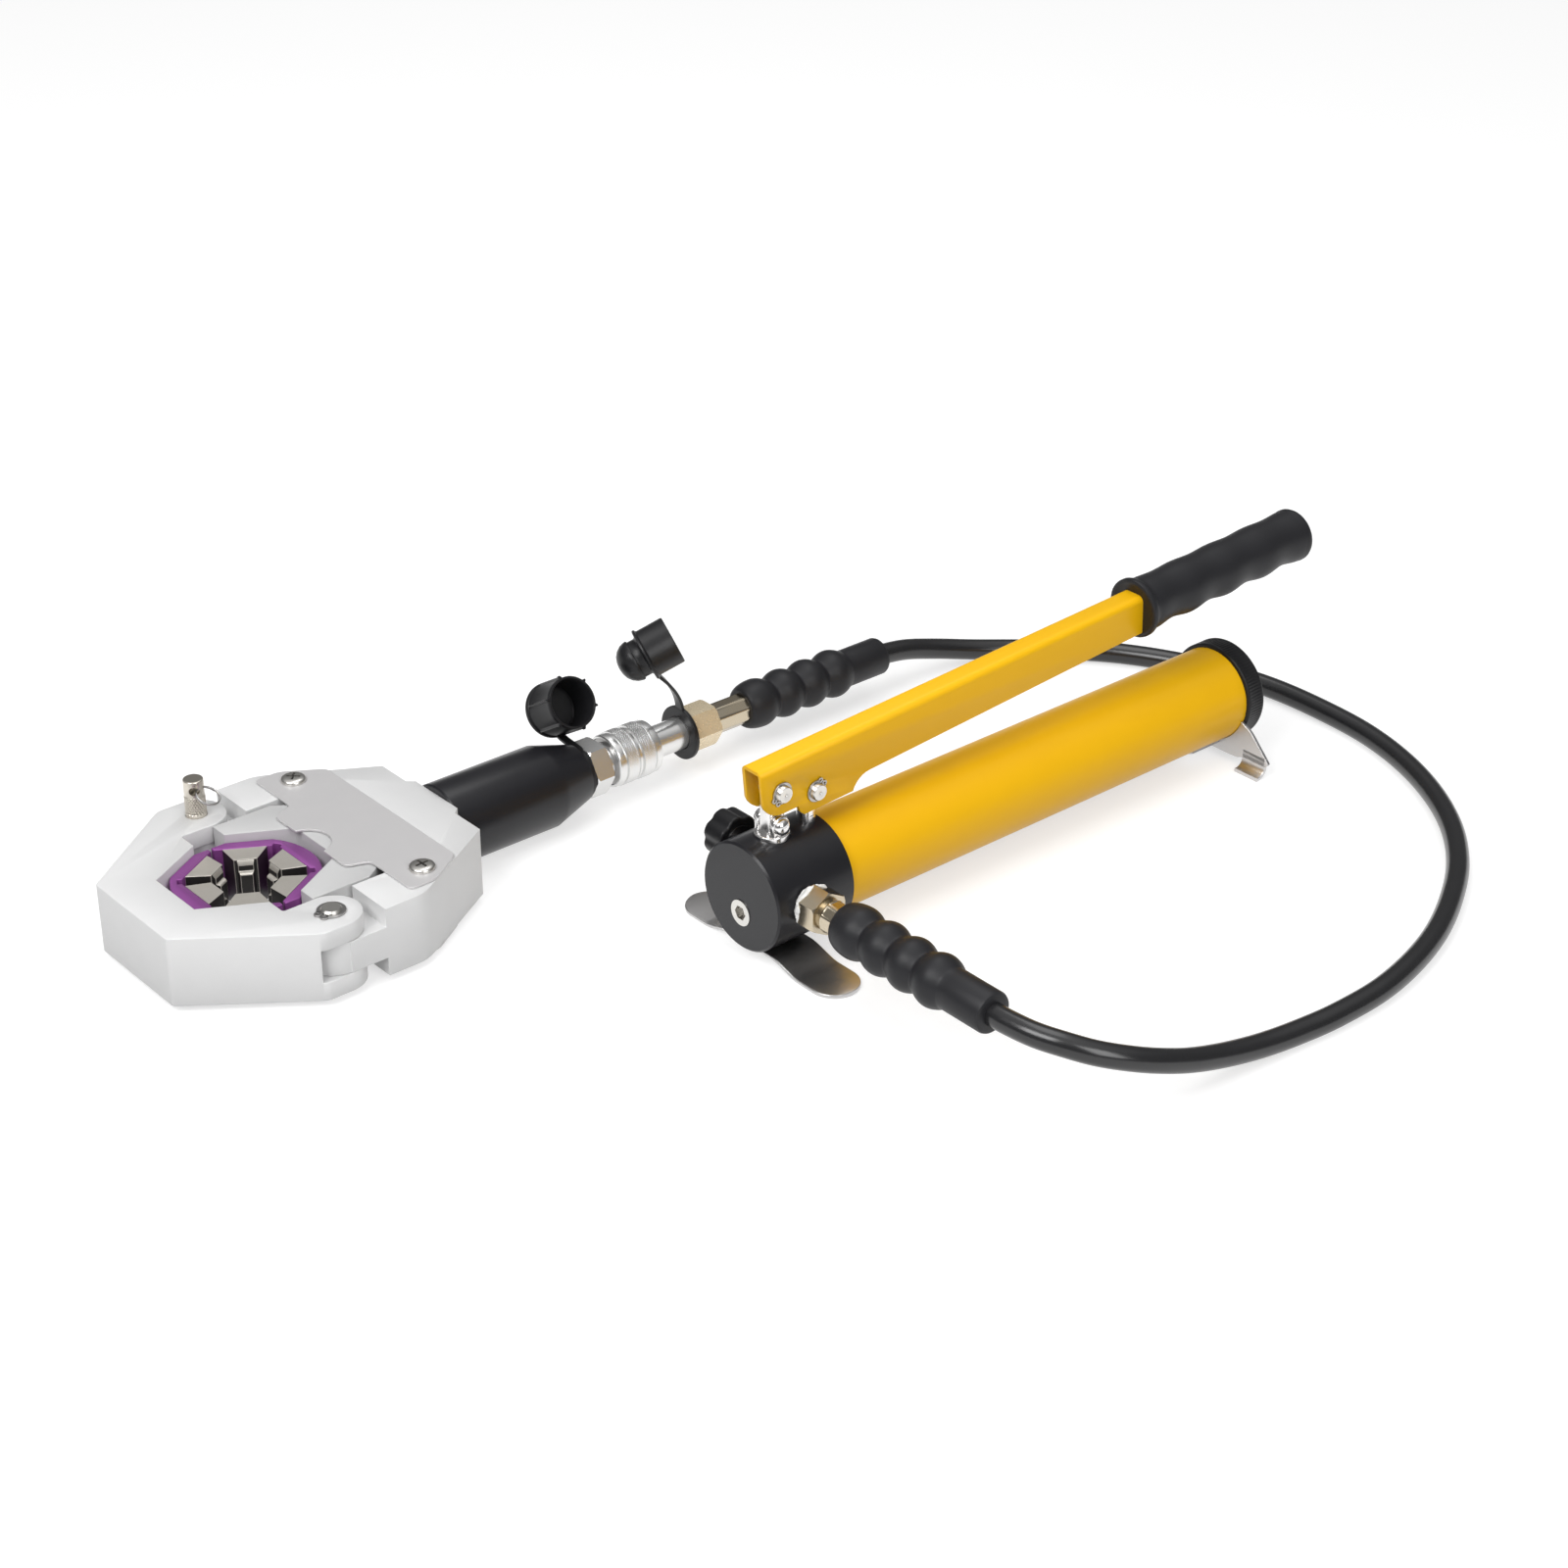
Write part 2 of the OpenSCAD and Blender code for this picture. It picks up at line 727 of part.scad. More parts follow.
module cap_seal() {
    color("#1c1c1e") at_pump() translate([0, tube_end - spigot_l / 2, 0]) along_y()
        tube(tube_in_r - run_gap, tube_in_r - cap_seal_w + fit_gap, cap_seal_w);
}

module rear_stand() {
    foot_in = rear_span - rear_foot_w;
    floor_z = -pump_axis_h;
    saddle_z = -tube_r * cos(asin(rear_saddle_half / tube_r));
    crotch_z = -tube_r - rear_neck / 2;
    outline = both_sides([[0, crotch_z - stand_t], [foot_in - rear_neck, crotch_z],
        [foot_in, floor_z + rear_neck / 2], [foot_in, floor_z + rear_bend_r],
        [rear_span, floor_z + rear_bend_r], [rear_span + rear_bend_r, floor_z + rear_neck],
        [rear_saddle_half + rear_neck, saddle_z], [rear_saddle_half, saddle_z + rear_neck / 2], [0, 0]]);
    color("#b9b9bb") at_pump() {
        translate([0, rear_plate_y + stand_t, 0]) rotate([90, 0, 0]) linear_extrude(stand_t) difference() {
            polygon(outline);
            circle(r = tube_r + fit_gap);
        }
        for (side = [-1, 1])
            translate([side > 0 ? foot_in : -rear_span, rear_plate_y - rear_lip, floor_z])
                cube([rear_foot_w, rear_lip + stand_t, rear_bend_r]);
        difference() {
            translate([-rear_tab_half, rear_plate_y - rear_tab_l, -tube_r - stand_t])
                cube([2 * rear_tab_half, rear_tab_l, 2 * stand_t]);
            translate([0, rear_plate_y - rear_tab_l - over, 0]) along_y()
                cylinder(r = tube_r + fit_gap, h = rear_tab_l + over);
            translate([0, rear_plate_y - rear_screw_back, -tube_r - stand_t - over])
                cylinder(d = foot_screw_d + 2 * fit_gap, h = 2 * stand_t + over);
        }
    }
}

module rear_stand_screw() {
    top = tube_wall + stand_t + foot_screw_d / 2;
    color("#c9c9cb") at_pump() translate([0, rear_plate_y - rear_screw_back, -tube_r - stand_t]) {
        cylinder(d = foot_screw_d, h = top);
        translate([0, 0, -rear_screw_head_h])
            cylinder(d1 = rear_screw_head_d / 2, d2 = rear_screw_head_d, h = rear_screw_head_h);
    }
}

module front_stand() {
    slant = stand_t / 4;
    section = both_sides([[0, -pump_r - stand_t], [wing_flat, -pump_r - stand_t], [wing_foot, -pump_axis_h],
        [wing_span, -pump_axis_h], [wing_span, stand_t - pump_axis_h],
        [wing_foot + slant, stand_t - pump_axis_h], [wing_flat + slant, -pump_r], [0, -pump_r]]);
    color("#b4b4b6") at_pump() difference() {
        intersection() {
            translate([0, wing_y + wing_w, 0]) rotate([90, 0, 0]) linear_extrude(wing_w) polygon(section);
            translate([0, wing_y + wing_w / 2, -pump_axis_h - over]) linear_extrude(wing_drop + 2 * over) {
                square([2 * wing_span - wing_w, wing_w], center = true);
                for (side = [-1, 1]) translate([side * (wing_span - wing_w / 2), 0]) circle(d = wing_w);
            }
        }
        for (share = foot_screw_shares)
            translate([0, wing_y + wing_w * share, -pump_axis_h])
                cylinder(d = foot_screw_d + 2 * fit_gap, h = wing_drop + over);
        along_y() cylinder(r = pump_r, h = pump_head_l);
    }
}

module front_stand_screws() {
    color("#c4c4c6") at_pump() for (share = foot_screw_shares)
        translate([0, wing_y + wing_w * share, -pump_r - stand_t]) {
            cylinder(d = foot_screw_d, h = foot_screw_l);
            translate([0, 0, -foot_screw_head_h]) cylinder(d = foot_screw_head_d, h = foot_screw_head_h);
        }
}

module relief_plug() {
    color("#cfcdc8") at_pump() translate([0, -relief_proud, -relief_drop]) along_y() difference() {
        cylinder(d = relief_d, h = relief_l + relief_proud);
        translate([0, 0, -over]) hex_bar(relief_hex_af, relief_hex_depth + over);
    }
}

module relief_spring() {
    length = relief_spring_l - 2 * relief_wire_r - 2 * fit_gap;
    color("#a8a8aa") at_pump() translate([0, relief_l + relief_wire_r + fit_gap, -relief_drop]) along_y()
        sweep(coil_path(relief_coil_r, length, relief_turns), relief_wire_r, 6);
}

module relief_ball() {
    ball_y = relief_l + relief_spring_l + relief_ball_r - fit_gap;
    color("#c8c8ca") at_pump() translate([0, ball_y, -relief_drop]) sphere(r = relief_ball_r);
}

module check_balls() {
    color("#c8c8ca") at_pump() {
        translate([0, plunger_y - plunger_r - 2 * valve_ball_r, gallery_z]) sphere(r = valve_ball_r);
        translate([0, plunger_y, chamber_floor - valve_spring_l - valve_ball_r]) sphere(r = valve_ball_r);
    }
}

module check_springs() {
    length = valve_spring_l - 2 * valve_wire_r - 2 * fit_gap;
    outlet_y = plunger_y - plunger_r - 3 * valve_ball_r - fit_gap - valve_wire_r - length;
    color("#a8a8aa") at_pump() {
        translate([0, outlet_y, gallery_z]) along_y()
            sweep(coil_path(valve_coil_r, length, valve_turns), valve_wire_r, 6);
        translate([0, plunger_y, chamber_floor - valve_spring_l + valve_wire_r + fit_gap])
            sweep(coil_path(valve_coil_r, length, valve_turns), valve_wire_r, 6);
    }
}

module suction_tube() {
    start = pump_head_l + over;
    color("#b0a070") at_pump() translate([0, start, suction_z]) along_y()
        tube(suction_r, suction_r - suction_wall, tube_l * suction_reach_share);
}

module release_stem() {
    tip = stem_depth - over - knob_wall;
    color("#b8b8ba") at_pump() translate([tip, knob_y, knob_z]) rotate([0, -90, 0]) {
        cylinder(d = stem_d, h = stem_depth + knob_gap + knob_l / 2 - over);
        translate([0, 0, -over]) cylinder(d1 = stem_d / 2, d2 = stem_d, h = over);
    }
}

module release_knob() {
    reach = knob_d / 2 * knob_scallop_reach_share;
    face = -knob_wall - knob_gap;
    color("#222224") at_pump() translate([face, knob_y, knob_z]) rotate([0, -90, 0]) difference() {
        linear_extrude(knob_l) difference() {
            circle(d = knob_d);
            for (i = [0:knob_scallops - 1]) rotate(360 * i / knob_scallops)
                translate([reach, 0]) circle(r = knob_d / 2 * knob_scallop_share);
        }
        translate([0, 0, -over]) cylinder(d = stem_d + 2 * fit_gap, h = knob_l / 2 + over);
    }
}

module fulcrum_base() {
    slot_half = link_half_x + fit_gap;
    color("#d2d2d4") at_pump() translate([0, fulcrum_y, 0]) difference() {
        union() {
            translate([0, 0, pump_r - base_depth]) cylinder(r = base_r, h = base_depth + base_rise);
            translate([0, 0, pump_r]) intersection() {
                union() {
                    translate([0, 0, base_pin_rise]) cross_bar(base_cheek_r, base_half_x);
                    translate([-base_half_x, -base_cheek_r, 0])
                        cube([2 * base_half_x, 2 * base_cheek_r, base_pin_rise]);
                }
                cylinder(r = base_r, h = base_pin_rise + base_cheek_r + over);
            }
        }
        translate([-slot_half, -base_r - over, base_pin_h - link_foot_r - fit_gap])
            cube([2 * slot_half, 2 * base_r + 2 * over, base_pin_rise + base_r + base_cheek_r]);
        translate([0, 0, base_pin_h]) cross_bar(base_pin_r + fit_gap, base_half_x + over);
    }
}

module fulcrum_base_pin() {
    half = base_half_x + fit_gap;
    color("#dadadc") at_pump() translate([0, fulcrum_y, base_pin_h]) {
        cross_bar(base_pin_r, half);
        for (side = [0, 1]) mirror([side, 0, 0]) translate([half, 0, 0]) along_x()
            cylinder(r1 = base_pin_head_r, r2 = base_pin_head_r / 2, h = base_pin_head_l);
    }
}

module fulcrum_link() {
    color("#d6d6d8") at_pump() translate([0, fulcrum_y, 0]) difference() {
        union() {
            translate([0, 0, fulcrum_h]) cross_bar(link_eye_r, link_half_x);
            translate([0, 0, base_pin_h]) cross_bar(link_foot_r, link_half_x);
            translate([-link_half_x, -link_half_y, base_pin_h])
                cube([2 * link_half_x, 2 * link_half_y, fulcrum_h - base_pin_h]);
        }
        translate([0, 0, fulcrum_h]) cross_bar(lever_pin_r + run_gap, link_half_x + over);
        translate([0, 0, base_pin_h]) cross_bar(base_pin_r + fit_gap, link_half_x + over);
    }
}

// Side view of the lever, from the front lobe to the end inside the grip
function lever_outline() = concat(
    [[lever_l, lever_top], [-lever_front, lever_top]],
    [for (a = [lobe_from:lobe_step:270]) lobe_r * [cos(a), sin(a)]],
    [[notch_u, -lobe_r], [notch_u + notch_run, tab_corner - tab_drop],
        [notch_u + notch_run + tab_corner, -tab_drop]],
    [for (i = [0:6]) let (a = tab_arc + (90 - tab_arc) * i / 6)
        [root_u, -root_drop - root_fillet] + root_fillet * [cos(a), sin(a)]],
    [[tang_start, -end_drop], [tang_start, -tang_drop], [lever_l, -tang_drop]]
);

module lever() {
    half = lever_w / 2;
    bend = lever_top - lever_bend_r;
    length = lever_l + lever_front + 2 * over;
    color("#e6b022") at_lever() difference() {
        intersection() {
            across_x(lever_w) polygon(lever_outline());
            translate([0, lever_l + over, 0]) rotate([90, 0, 0]) linear_extrude(length) {
                translate([-half, -tab_drop - over]) square([lever_w, tab_drop + over + bend]);
                translate([lever_bend_r - half, 0]) square([lever_w - 2 * lever_bend_r, lever_top]);
                for (side = [-1, 1]) translate([side * (half - lever_bend_r), bend]) circle(r = lever_bend_r);
            }
        }
        translate([-lever_in, -lever_front - over, -tab_drop - over])
            cube([2 * lever_in, length, tab_drop + over + lever_top - lever_t]);
        for (place = [[0, 0], [plunger_u, plunger_w]])
            translate([0, place[0], place[1]]) cross_bar(lever_pin_r + fit_gap, half + over);
    }
}

module lever_grip() {
    r = grip_d / 2;
    front = grip_start - over;
    slope = (root_drop - end_drop) / (tang_start - root_u);
    low = -end_drop - slope * (tang_start - front) - fit_gap;
    wave = [for (i = [0:grip_steps]) let (s = i / grip_steps)
        [r - grip_wave + grip_wave * cos(360 * grip_waves * s), grip_rim_l + s * (grip_l - 2 * grip_rim_l)]];
    color("#2c2c2f") at_lever() difference() {
        translate([0, grip_start, grip_w]) turned_y(concat([[0, 0], [r, 0], [r + grip_rim_r, grip_rim_r],
            [r + grip_rim_r, grip_rim_l / 2]], wave, [[r - grip_rim_r, grip_l - grip_rim_r],
            [r - 2 * grip_rim_r, grip_l], [0, grip_l]]));
        across_x(lever_w + 2 * fit_gap) polygon([[front, lever_top + fit_gap], [front, low],
            [tang_start + fit_gap, -end_drop - fit_gap], [tang_start + fit_gap, -tang_drop - fit_gap],
            [lever_l + fit_gap, -tang_drop - fit_gap], [lever_l + fit_gap, lever_top + fit_gap]]);
    }
}

// Grooved pin across the lever, centred on the origin
module lever_cross_pin() {
    groove = lever_w / 2 + fit_gap;
    difference() {
        cross_bar(lever_pin_r, lever_pin_half);
        for (side = [0, 1]) mirror([side, 0, 0]) translate([groove, 0, 0]) along_x()
            tube(lever_pin_r + over, lever_pin_r - clip_groove, clip_t);
    }
}

module fulcrum_pin() {
    color("#d4d4d6") at_lever() lever_cross_pin();
}

module plunger_pin() {
    color("#d4d4d6") at_lever() translate([0, plunger_u, plunger_w]) lever_cross_pin();
}

module lever_circlips() {
    color("#8e8e90") at_lever() for (place = [[0, 0, 322], [plunger_u, plunger_w, 145]])
        for (side = [0, 1]) mirror([side, 0, 0])
            translate([lever_w / 2 + fit_gap, place[0], place[1]]) along_x() rotate(place[2])
                clip(clip_r, lever_pin_r - clip_groove + fit_gap, clip_t, clip_mouth);
}

module plunger() {
    foot = chamber_floor + plunger_foot_gap;
    slot_r = lever_pin_r + eye_lift;
    color("#c6c6c9") at_pump() translate([0, plunger_y, 0]) difference() {
        union() {
            translate([0, 0, foot]) cylinder(r = plunger_r, h = plunger_pin_h - flat_drop - foot);
            intersection() {
                translate([0, 0, plunger_pin_h - flat_drop - over]) cylinder(r = plunger_r, h = flat_drop);
                translate([-eye_half_x, -plunger_r, 0])
                    cube([2 * eye_half_x, 2 * plunger_r, plunger_pin_h]);
            }
            translate([0, (slot_back - slot_front) / 2, plunger_pin_h]) cross_bar(eye_r, eye_half_x);
        }
        for (y = [-slot_front, slot_back])
            translate([0, y, plunger_pin_h]) cross_bar(slot_r, eye_half_x + over);
        translate([-eye_half_x - over, -slot_front, plunger_pin_h - slot_r])
            cube([2 * eye_half_x + 2 * over, slot_front + slot_back, 2 * slot_r]);
    }
}

module plunger_seal() {
    color("#1c1c1e") at_pump() translate([0, plunger_y, pump_r - plunger_seal_top + fit_gap])
        tube(plunger_r + plunger_seal_w - fit_gap, plunger_r + run_gap, plunger_seal_h - 2 * fit_gap);
}

module thread_tape() {
    color("#f2f2f0") at_pump() translate([0, fitting_y, fitting_z]) difference() {
        along_x() tube(thread_r + tape_proud, thread_r + fit_gap, pump_nut_x - fit_gap);
        translate([0, -fitting_y, -fitting_z]) along_y() cylinder(r = pump_r + fit_gap, h = pump_head_l);
    }
}

module pump_fitting() {
    color("#b9ab84") at_pump() translate([0, fitting_y, fitting_z]) {
        translate([pump_nut_x, 0, 0]) along_x() difference() {
            union() {
                chamfered_hex(fitting_af, fitting_l);
                translate([0, 0, fitting_l]) cylinder(d = ferrule_d - ferrule_rib_w, h = collar_l);
                translate([0, 0, -tape_l - thread_l]) cylinder(r = thread_r, h = tape_l + thread_l);
            }
            translate([0, 0, -tape_l - thread_l - over])
                cylinder(r = gallery_r, h = tape_l + thread_l + fitting_l + collar_l + 2 * over);
        }
    }
}

// Crimped ferrule along +Z with pressed flats round it
module ferrule(l) {
    difference() {
        cylinder(d = ferrule_d, h = l);
        for (i = [0:ferrule_ribs - 1]) rotate(360 * i / ferrule_ribs)
            translate([ferrule_d / 2 - ferrule_rib_depth, -ferrule_rib_w / 2, collar_l])
                cube([ferrule_d, ferrule_rib_w, l]);
        translate([0, 0, -over]) cylinder(r = gallery_r, h = l + 2 * over);
    }
}

module pump_ferrule() {
    color("#c3bca6") at_pump() translate([pump_ferrule_x, fitting_y, fitting_z]) along_x()
        ferrule(pump_ferrule_l);
}

module head_ferrule() {
    color("#c9c0a6") at_head() translate([0, head_nut_back, 0]) along_y() ferrule(head_ferrule_l);
}

// Radius of a hose grip at a distance from its front
function grip_radius(u) =
    let (end = bulb_first + (bulbs - 1) * bulb_pitch + bulb_pitch / 2)
    u > end ? tail_d / 2 : waist_r + (bulb_d / 2 - waist_r) * abs(cos(180 * (u - bulb_first) / bulb_pitch));

// Bulbed rubber grip along +Z, bored for the ferrule in front and for the hose behind
module hose_grip() {
    steps = bulbs * bulb_steps;
    end = bulb_first + (bulbs - 0.5) * bulb_pitch;
    rim = collar_l / 2;
    nose = [for (i = [0:bulb_steps]) let (a = 90 * i / bulb_steps)
        [grip_nose_r + (bulb_d / 2 - grip_nose_r) * sin(a), bulb_first * (1 - cos(a))]];
    waves = [for (i = [1:steps]) let (u = bulb_first + (end - bulb_first) * i / steps) [grip_radius(u), u]];
    difference() {
        rotate_extrude() polygon(concat([[0, 0]], nose, waves,
            [[tail_d / 2, hose_grip_l - rim], [tail_d / 2 - rim, hose_grip_l], [0, hose_grip_l]]));
        translate([0, 0, -over]) cylinder(d = ferrule_d + 2 * fit_gap, h = ferrule_bore_l + over);
        translate([0, 0, hose_grip_l - tail_mouth_l]) cylinder(r = tail_mouth_r, h = tail_mouth_l + over);
    }
}

module pump_grip() {
    color("#3a3a3d") at_pump() translate([pump_grip_x, fitting_y, fitting_z]) along_x() hose_grip();
}

module head_grip() {
    color("#3a3a3d") at_head() translate([0, head_grip_front, 0]) along_y() hose_grip();
}

module hose() {
    seat = hose_grip_l - tail_mouth_l;
    start = [pump_x + pump_grip_x + seat, pump_y + fitting_y, pump_axis_h + fitting_z];
    finish = [head_x, head_y + head_grip_front + seat, head_axis_h];
    out = [tail_mouth_l, 0, 0];
    back = [0, tail_mouth_l, 0];
    run = curve(concat([start + out], hose_route, [finish + back]), hose_steps);
    color("#1e1e20") sweep(concat([start], run, [finish]), hose_d / 2, hose_sides);
}

module head_nut() {
    color("#cdb277") at_head() translate([0, plug_back, 0]) along_y() difference() {
        chamfered_hex(head_nut_af, head_nut_l);
        translate([0, 0, -over]) cylinder(r = gallery_r, h = head_nut_l + 2 * over);
    }
}

module coupler_plug() {
    nose = sleeve_back - plug_nose_l;
    r = socket_bore_r - fit_gap;
    groove_r = socket_bore_r - ball_groove;
    color("#d0d0d2") at_head() difference() {
        turned_y([[0, nose], [r, nose], [r, ball_y - ball_r - fit_gap], [groove_r, ball_y - ball_r],
            [groove_r, ball_y + ball_r], [r, ball_y + ball_r + fit_gap], [r, sleeve_back + free_gap],
            [plug_d / 2, sleeve_back + free_gap], [plug_d / 2, plug_back], [0, plug_back]]);
        translate([0, nose - over, 0]) along_y() cylinder(r = gallery_r, h = plug_back - nose + 2 * over);
    }
}

module coupler_socket() {
    front = barrel_end - socket_thread_l;
    seat = sleeve_back - plug_nose_l - fit_gap;
    color("#cfccc4") at_head() difference() {
        union() {
            translate([0, front, 0]) along_y() cylinder(r = port_r - fit_gap, h = socket_thread_l + over);
            translate([0, barrel_end + fit_gap, 0]) along_y()
                cylinder(r = neck_r, h = socket_back - barrel_end - fit_gap);
            translate([0, hex_front, 0]) along_y() chamfered_hex(socket_af, socket_hex_l);
        }
        translate([0, seat, 0]) along_y() cylinder(r = socket_bore_r, h = socket_back - seat + over);
        translate([0, front - over, 0]) along_y() cylinder(r = gallery_r, h = seat - front + 2 * over);
        for (i = [0:ball_count - 1]) translate([0, ball_y, 0]) rotate([0, 360 * i / ball_count, 0])
            cylinder(r = ball_r + fit_gap, h = neck_r + over);
    }
}

module coupler_sleeve() {
    r = sleeve_d / 2;
    shoulder = sleeve_back - sleeve_shoulder;
    knurl_l = (sleeve_l - sleeve_groove_l) / sleeve_knurls;
    color("#d8d8da") at_head() difference() {
        turned_y([[sleeve_room_r, sleeve_front], [r - nut_chamfer, sleeve_front],
            [r, sleeve_front + nut_chamfer], [r, sleeve_back - nut_chamfer], [r - nut_chamfer, sleeve_back],
            [neck_r + free_gap, sleeve_back], [neck_r + free_gap, shoulder], [sleeve_room_r, shoulder]]);
        translate([0, sleeve_front + knurl_l, 0]) along_y()
            tube(r + over, r - sleeve_groove_depth, sleeve_groove_l);
    }
}

module sleeve_ring() {
    color("#8e8e90") at_head() translate([0, sleeve_front + over, 0]) along_y()
        tube(sleeve_room_r - free_gap, neck_r + fit_gap, sleeve_ring_t);
}

module sleeve_spring() {
    front = sleeve_front + over + sleeve_ring_t + sleeve_wire_r + fit_gap;
    back = sleeve_back - sleeve_shoulder - sleeve_wire_r - fit_gap;
    path = coil_path((neck_r + sleeve_room_r) / 2, back - front, sleeve_turns, sleeve_steps);
    color("#a8a8aa") at_head() translate([0, front, 0]) along_y() sweep(path, sleeve_wire_r, 6);
}

module coupler_balls() {
    color("#c8c8ca") at_head() translate([0, ball_y, 0]) for (i = [0:ball_count - 1])
        rotate([0, 360 * i / ball_count, 0]) translate([0, 0, ball_place_r]) sphere(r = ball_r);
}

module socket_cap() {
    ring_y = barrel_end + strap_ring_gap;
    mid_y = ring_y + strap_ring_t / 2;
    axis = [cos(cup_tilt), sin(cup_tilt)];
    inward = [-sin(cup_tilt), cos(cup_tilt)];
    low = [cup_x, cup_z] - cup_back_r * inward;
    color("#1f1f22") at_head() {
        translate([0, ring_y, 0]) along_y() tube(strap_ring_r, neck_r + free_gap, strap_ring_t);
        translate([cup_x, mid_y, cup_z]) rotate([0, 90 - cup_tilt, 0]) {
            translate([0, 0, -cup_back_t]) cylinder(r = cup_back_r, h = cup_back_t);
            difference() {
                union() {
                    cylinder(r = cup_r, h = cup_l);
                    for (i = [0:cup_ribs - 1]) rotate(360 * i / cup_ribs)
                        translate([cup_r - cup_wall, -cup_wall / 2, 0])
                            cube([cup_wall + cup_rib, cup_wall, cup_l]);
                }
                cylinder(r = cup_r - cup_wall, h = cup_l + over);
            }
        }
        translate([0, mid_y, 0]) rotate([90, 0, 0]) linear_extrude(strap_ring_t, center = true) polygon([
            [0, strap_ring_r - strap_t / 4], low + strap_t * inward,
            low + strap_t * inward - cup_back_t * axis, low - cup_back_t * axis, [-neck_r, neck_r]]);
    }
}

module plug_cap() {
    ring_y = loose_ring_y;
    mid_y = ring_y + strap_ring_t / 2;
    place = [0, mid_y - stopper_back, stopper_rise];
    lean = sin(stopper_pitch);
    down = [-sin(stopper_yaw) * lean, cos(stopper_yaw) * lean, -cos(stopper_pitch)];
    foot = [0, mid_y, loose_ring_r - strap_t];
    span = place + (flange_r - strap_t) * down - foot;
    dome = [for (i = [0:bulb_steps]) let (a = 90 * i / bulb_steps) [dome_r * cos(a), dome_rise * sin(a)]];
    color("#1f1f22") at_head() {
        translate([0, ring_y, 0]) along_y() tube(loose_ring_r, plug_d / 2 + free_gap, strap_ring_t);
        translate(place) rotate([0, 0, stopper_yaw]) rotate([stopper_pitch, 0, 0]) along_y() {
            difference() {
                cylinder(r = stopper_cup_r, h = stopper_cup_l);
                translate([0, 0, flange_t]) cylinder(r = stopper_cup_r - cup_wall, h = stopper_cup_l);
            }
            translate([0, 0, -flange_t]) cylinder(r = flange_r, h = flange_t);
            translate([0, 0, -flange_t - dome_l]) cylinder(r = dome_r, h = dome_l);
            translate([0, 0, -flange_t - dome_l]) mirror([0, 0, 1])
                rotate_extrude() polygon(concat([[0, 0]], dome));
        }
        translate(foot) rotate([0, acos(span[2] / norm(span)), atan2(span[1], span[0])])
            translate([-strap_t / 2, -strap_w / 2, 0]) cube([strap_t, strap_w, norm(span)]);
    }
}

module cylinder_barrel() {
    r = barrel_d / 2;
    rod_hole = rod_d / 2 + free_gap;
    gland_front = barrel_front - gland_l + rear_land;
    color("#29292c") at_head() turned_y([[rod_hole, gland_front], [gland_r, gland_front],
        [gland_r, barrel_front], [r - nut_chamfer, barrel_front], [r, barrel_front + nut_chamfer],
        [r, barrel_shoulder], [barrel_end_d / 2, barrel_end], [port_r, barrel_end], [port_r, bore_end],
        [piston_d / 2, bore_end], [piston_d / 2, bore_front], [rod_hole, bore_front]]);
}

module piston() {
    r = piston_d / 2 - run_gap;
    seal_y = piston_front + piston_l / 2;
    color("#b5b5b8") at_head() difference() {
        turned_y([[0, ram_back - rod_tip_l], [rod_tip_r, ram_back - rod_tip_l], [rod_tip_r, ram_back],
            [rod_d / 2, ram_back], [rod_d / 2, piston_front], [r, piston_front], [r, piston_back],
            [0, piston_back]]);
        translate([0, seal_y, 0]) along_y() tube(piston_d, r - piston_seal_w, piston_seal_w);
    }
}

module piston_seal() {
    r = piston_d / 2 - run_gap;
    seal_y = piston_front + piston_l / 2;
    color("#1c1c1e") at_head() translate([0, seal_y + fit_gap, 0]) along_y()
        tube(r, r - piston_seal_w + fit_gap, piston_seal_w - 2 * fit_gap);
}

module return_spring() {
    front = bore_front + return_wire_r + fit_gap;
    back = piston_front - return_wire_r - fit_gap;
    color("#9c9c9e") at_head() translate([0, front, 0]) along_y()
        sweep(coil_path(return_coil_r, back - front, return_turns), return_wire_r, 6);
}

// Plan of the body behind the fork's front face
function body_plan() = rounded(both_sides([[head_half_w, fork_back], [head_half_w, corner_back],
    [rear_half, rear_back], [rear_land_foot, rear_back], [rear_land_half, barrel_front]]),
    [0, body_corner_r, 0, 0, 0, 0, 0, 0, body_corner_r, 0]);

module head_body() {
    color("#d9d9da") at_head() difference() {
        union() {
            translate([0, 0, -head_half_t]) linear_extrude(head_t) polygon(body_plan());
            for (side = [-1, 1]) translate([side * pin_v, 0, -lug_t / 2]) {
                cylinder(r = lug_r, h = lug_t);
                translate([side > 0 ? -lug_r : pin_v - head_half_w, 0, 0])
                    cube([lug_r + head_half_w - pin_v, fork_back + over, lug_t]);
            }
        }
        translate([-channel_half, -ear_r - over, -head_half_t - over])
            cube([2 * channel_half, channel_back + ear_r + over, head_t + 2 * over]);
        translate([0, channel_back - over, 0]) along_y() cylinder(r = rod_d / 2 + free_gap, h = rear_back);
        translate([0, barrel_front - gland_l + rear_land - fit_gap, 0]) along_y()
            cylinder(r = gland_r + fit_gap, h = gland_l + over);
        for (side = [-1, 1]) {
            translate([side * pin_v, 0, -head_half_t]) cylinder(r = head_pin_r + run_gap, h = head_t);
            for (flip = [0, 1]) mirror([0, 0, flip])
                translate([side * cover_screw_x, cover_screw_y, head_half_t - cover_screw_l])
                    cylinder(r = cover_screw_r + fit_gap, h = cover_screw_l + over);
        }
    }
}

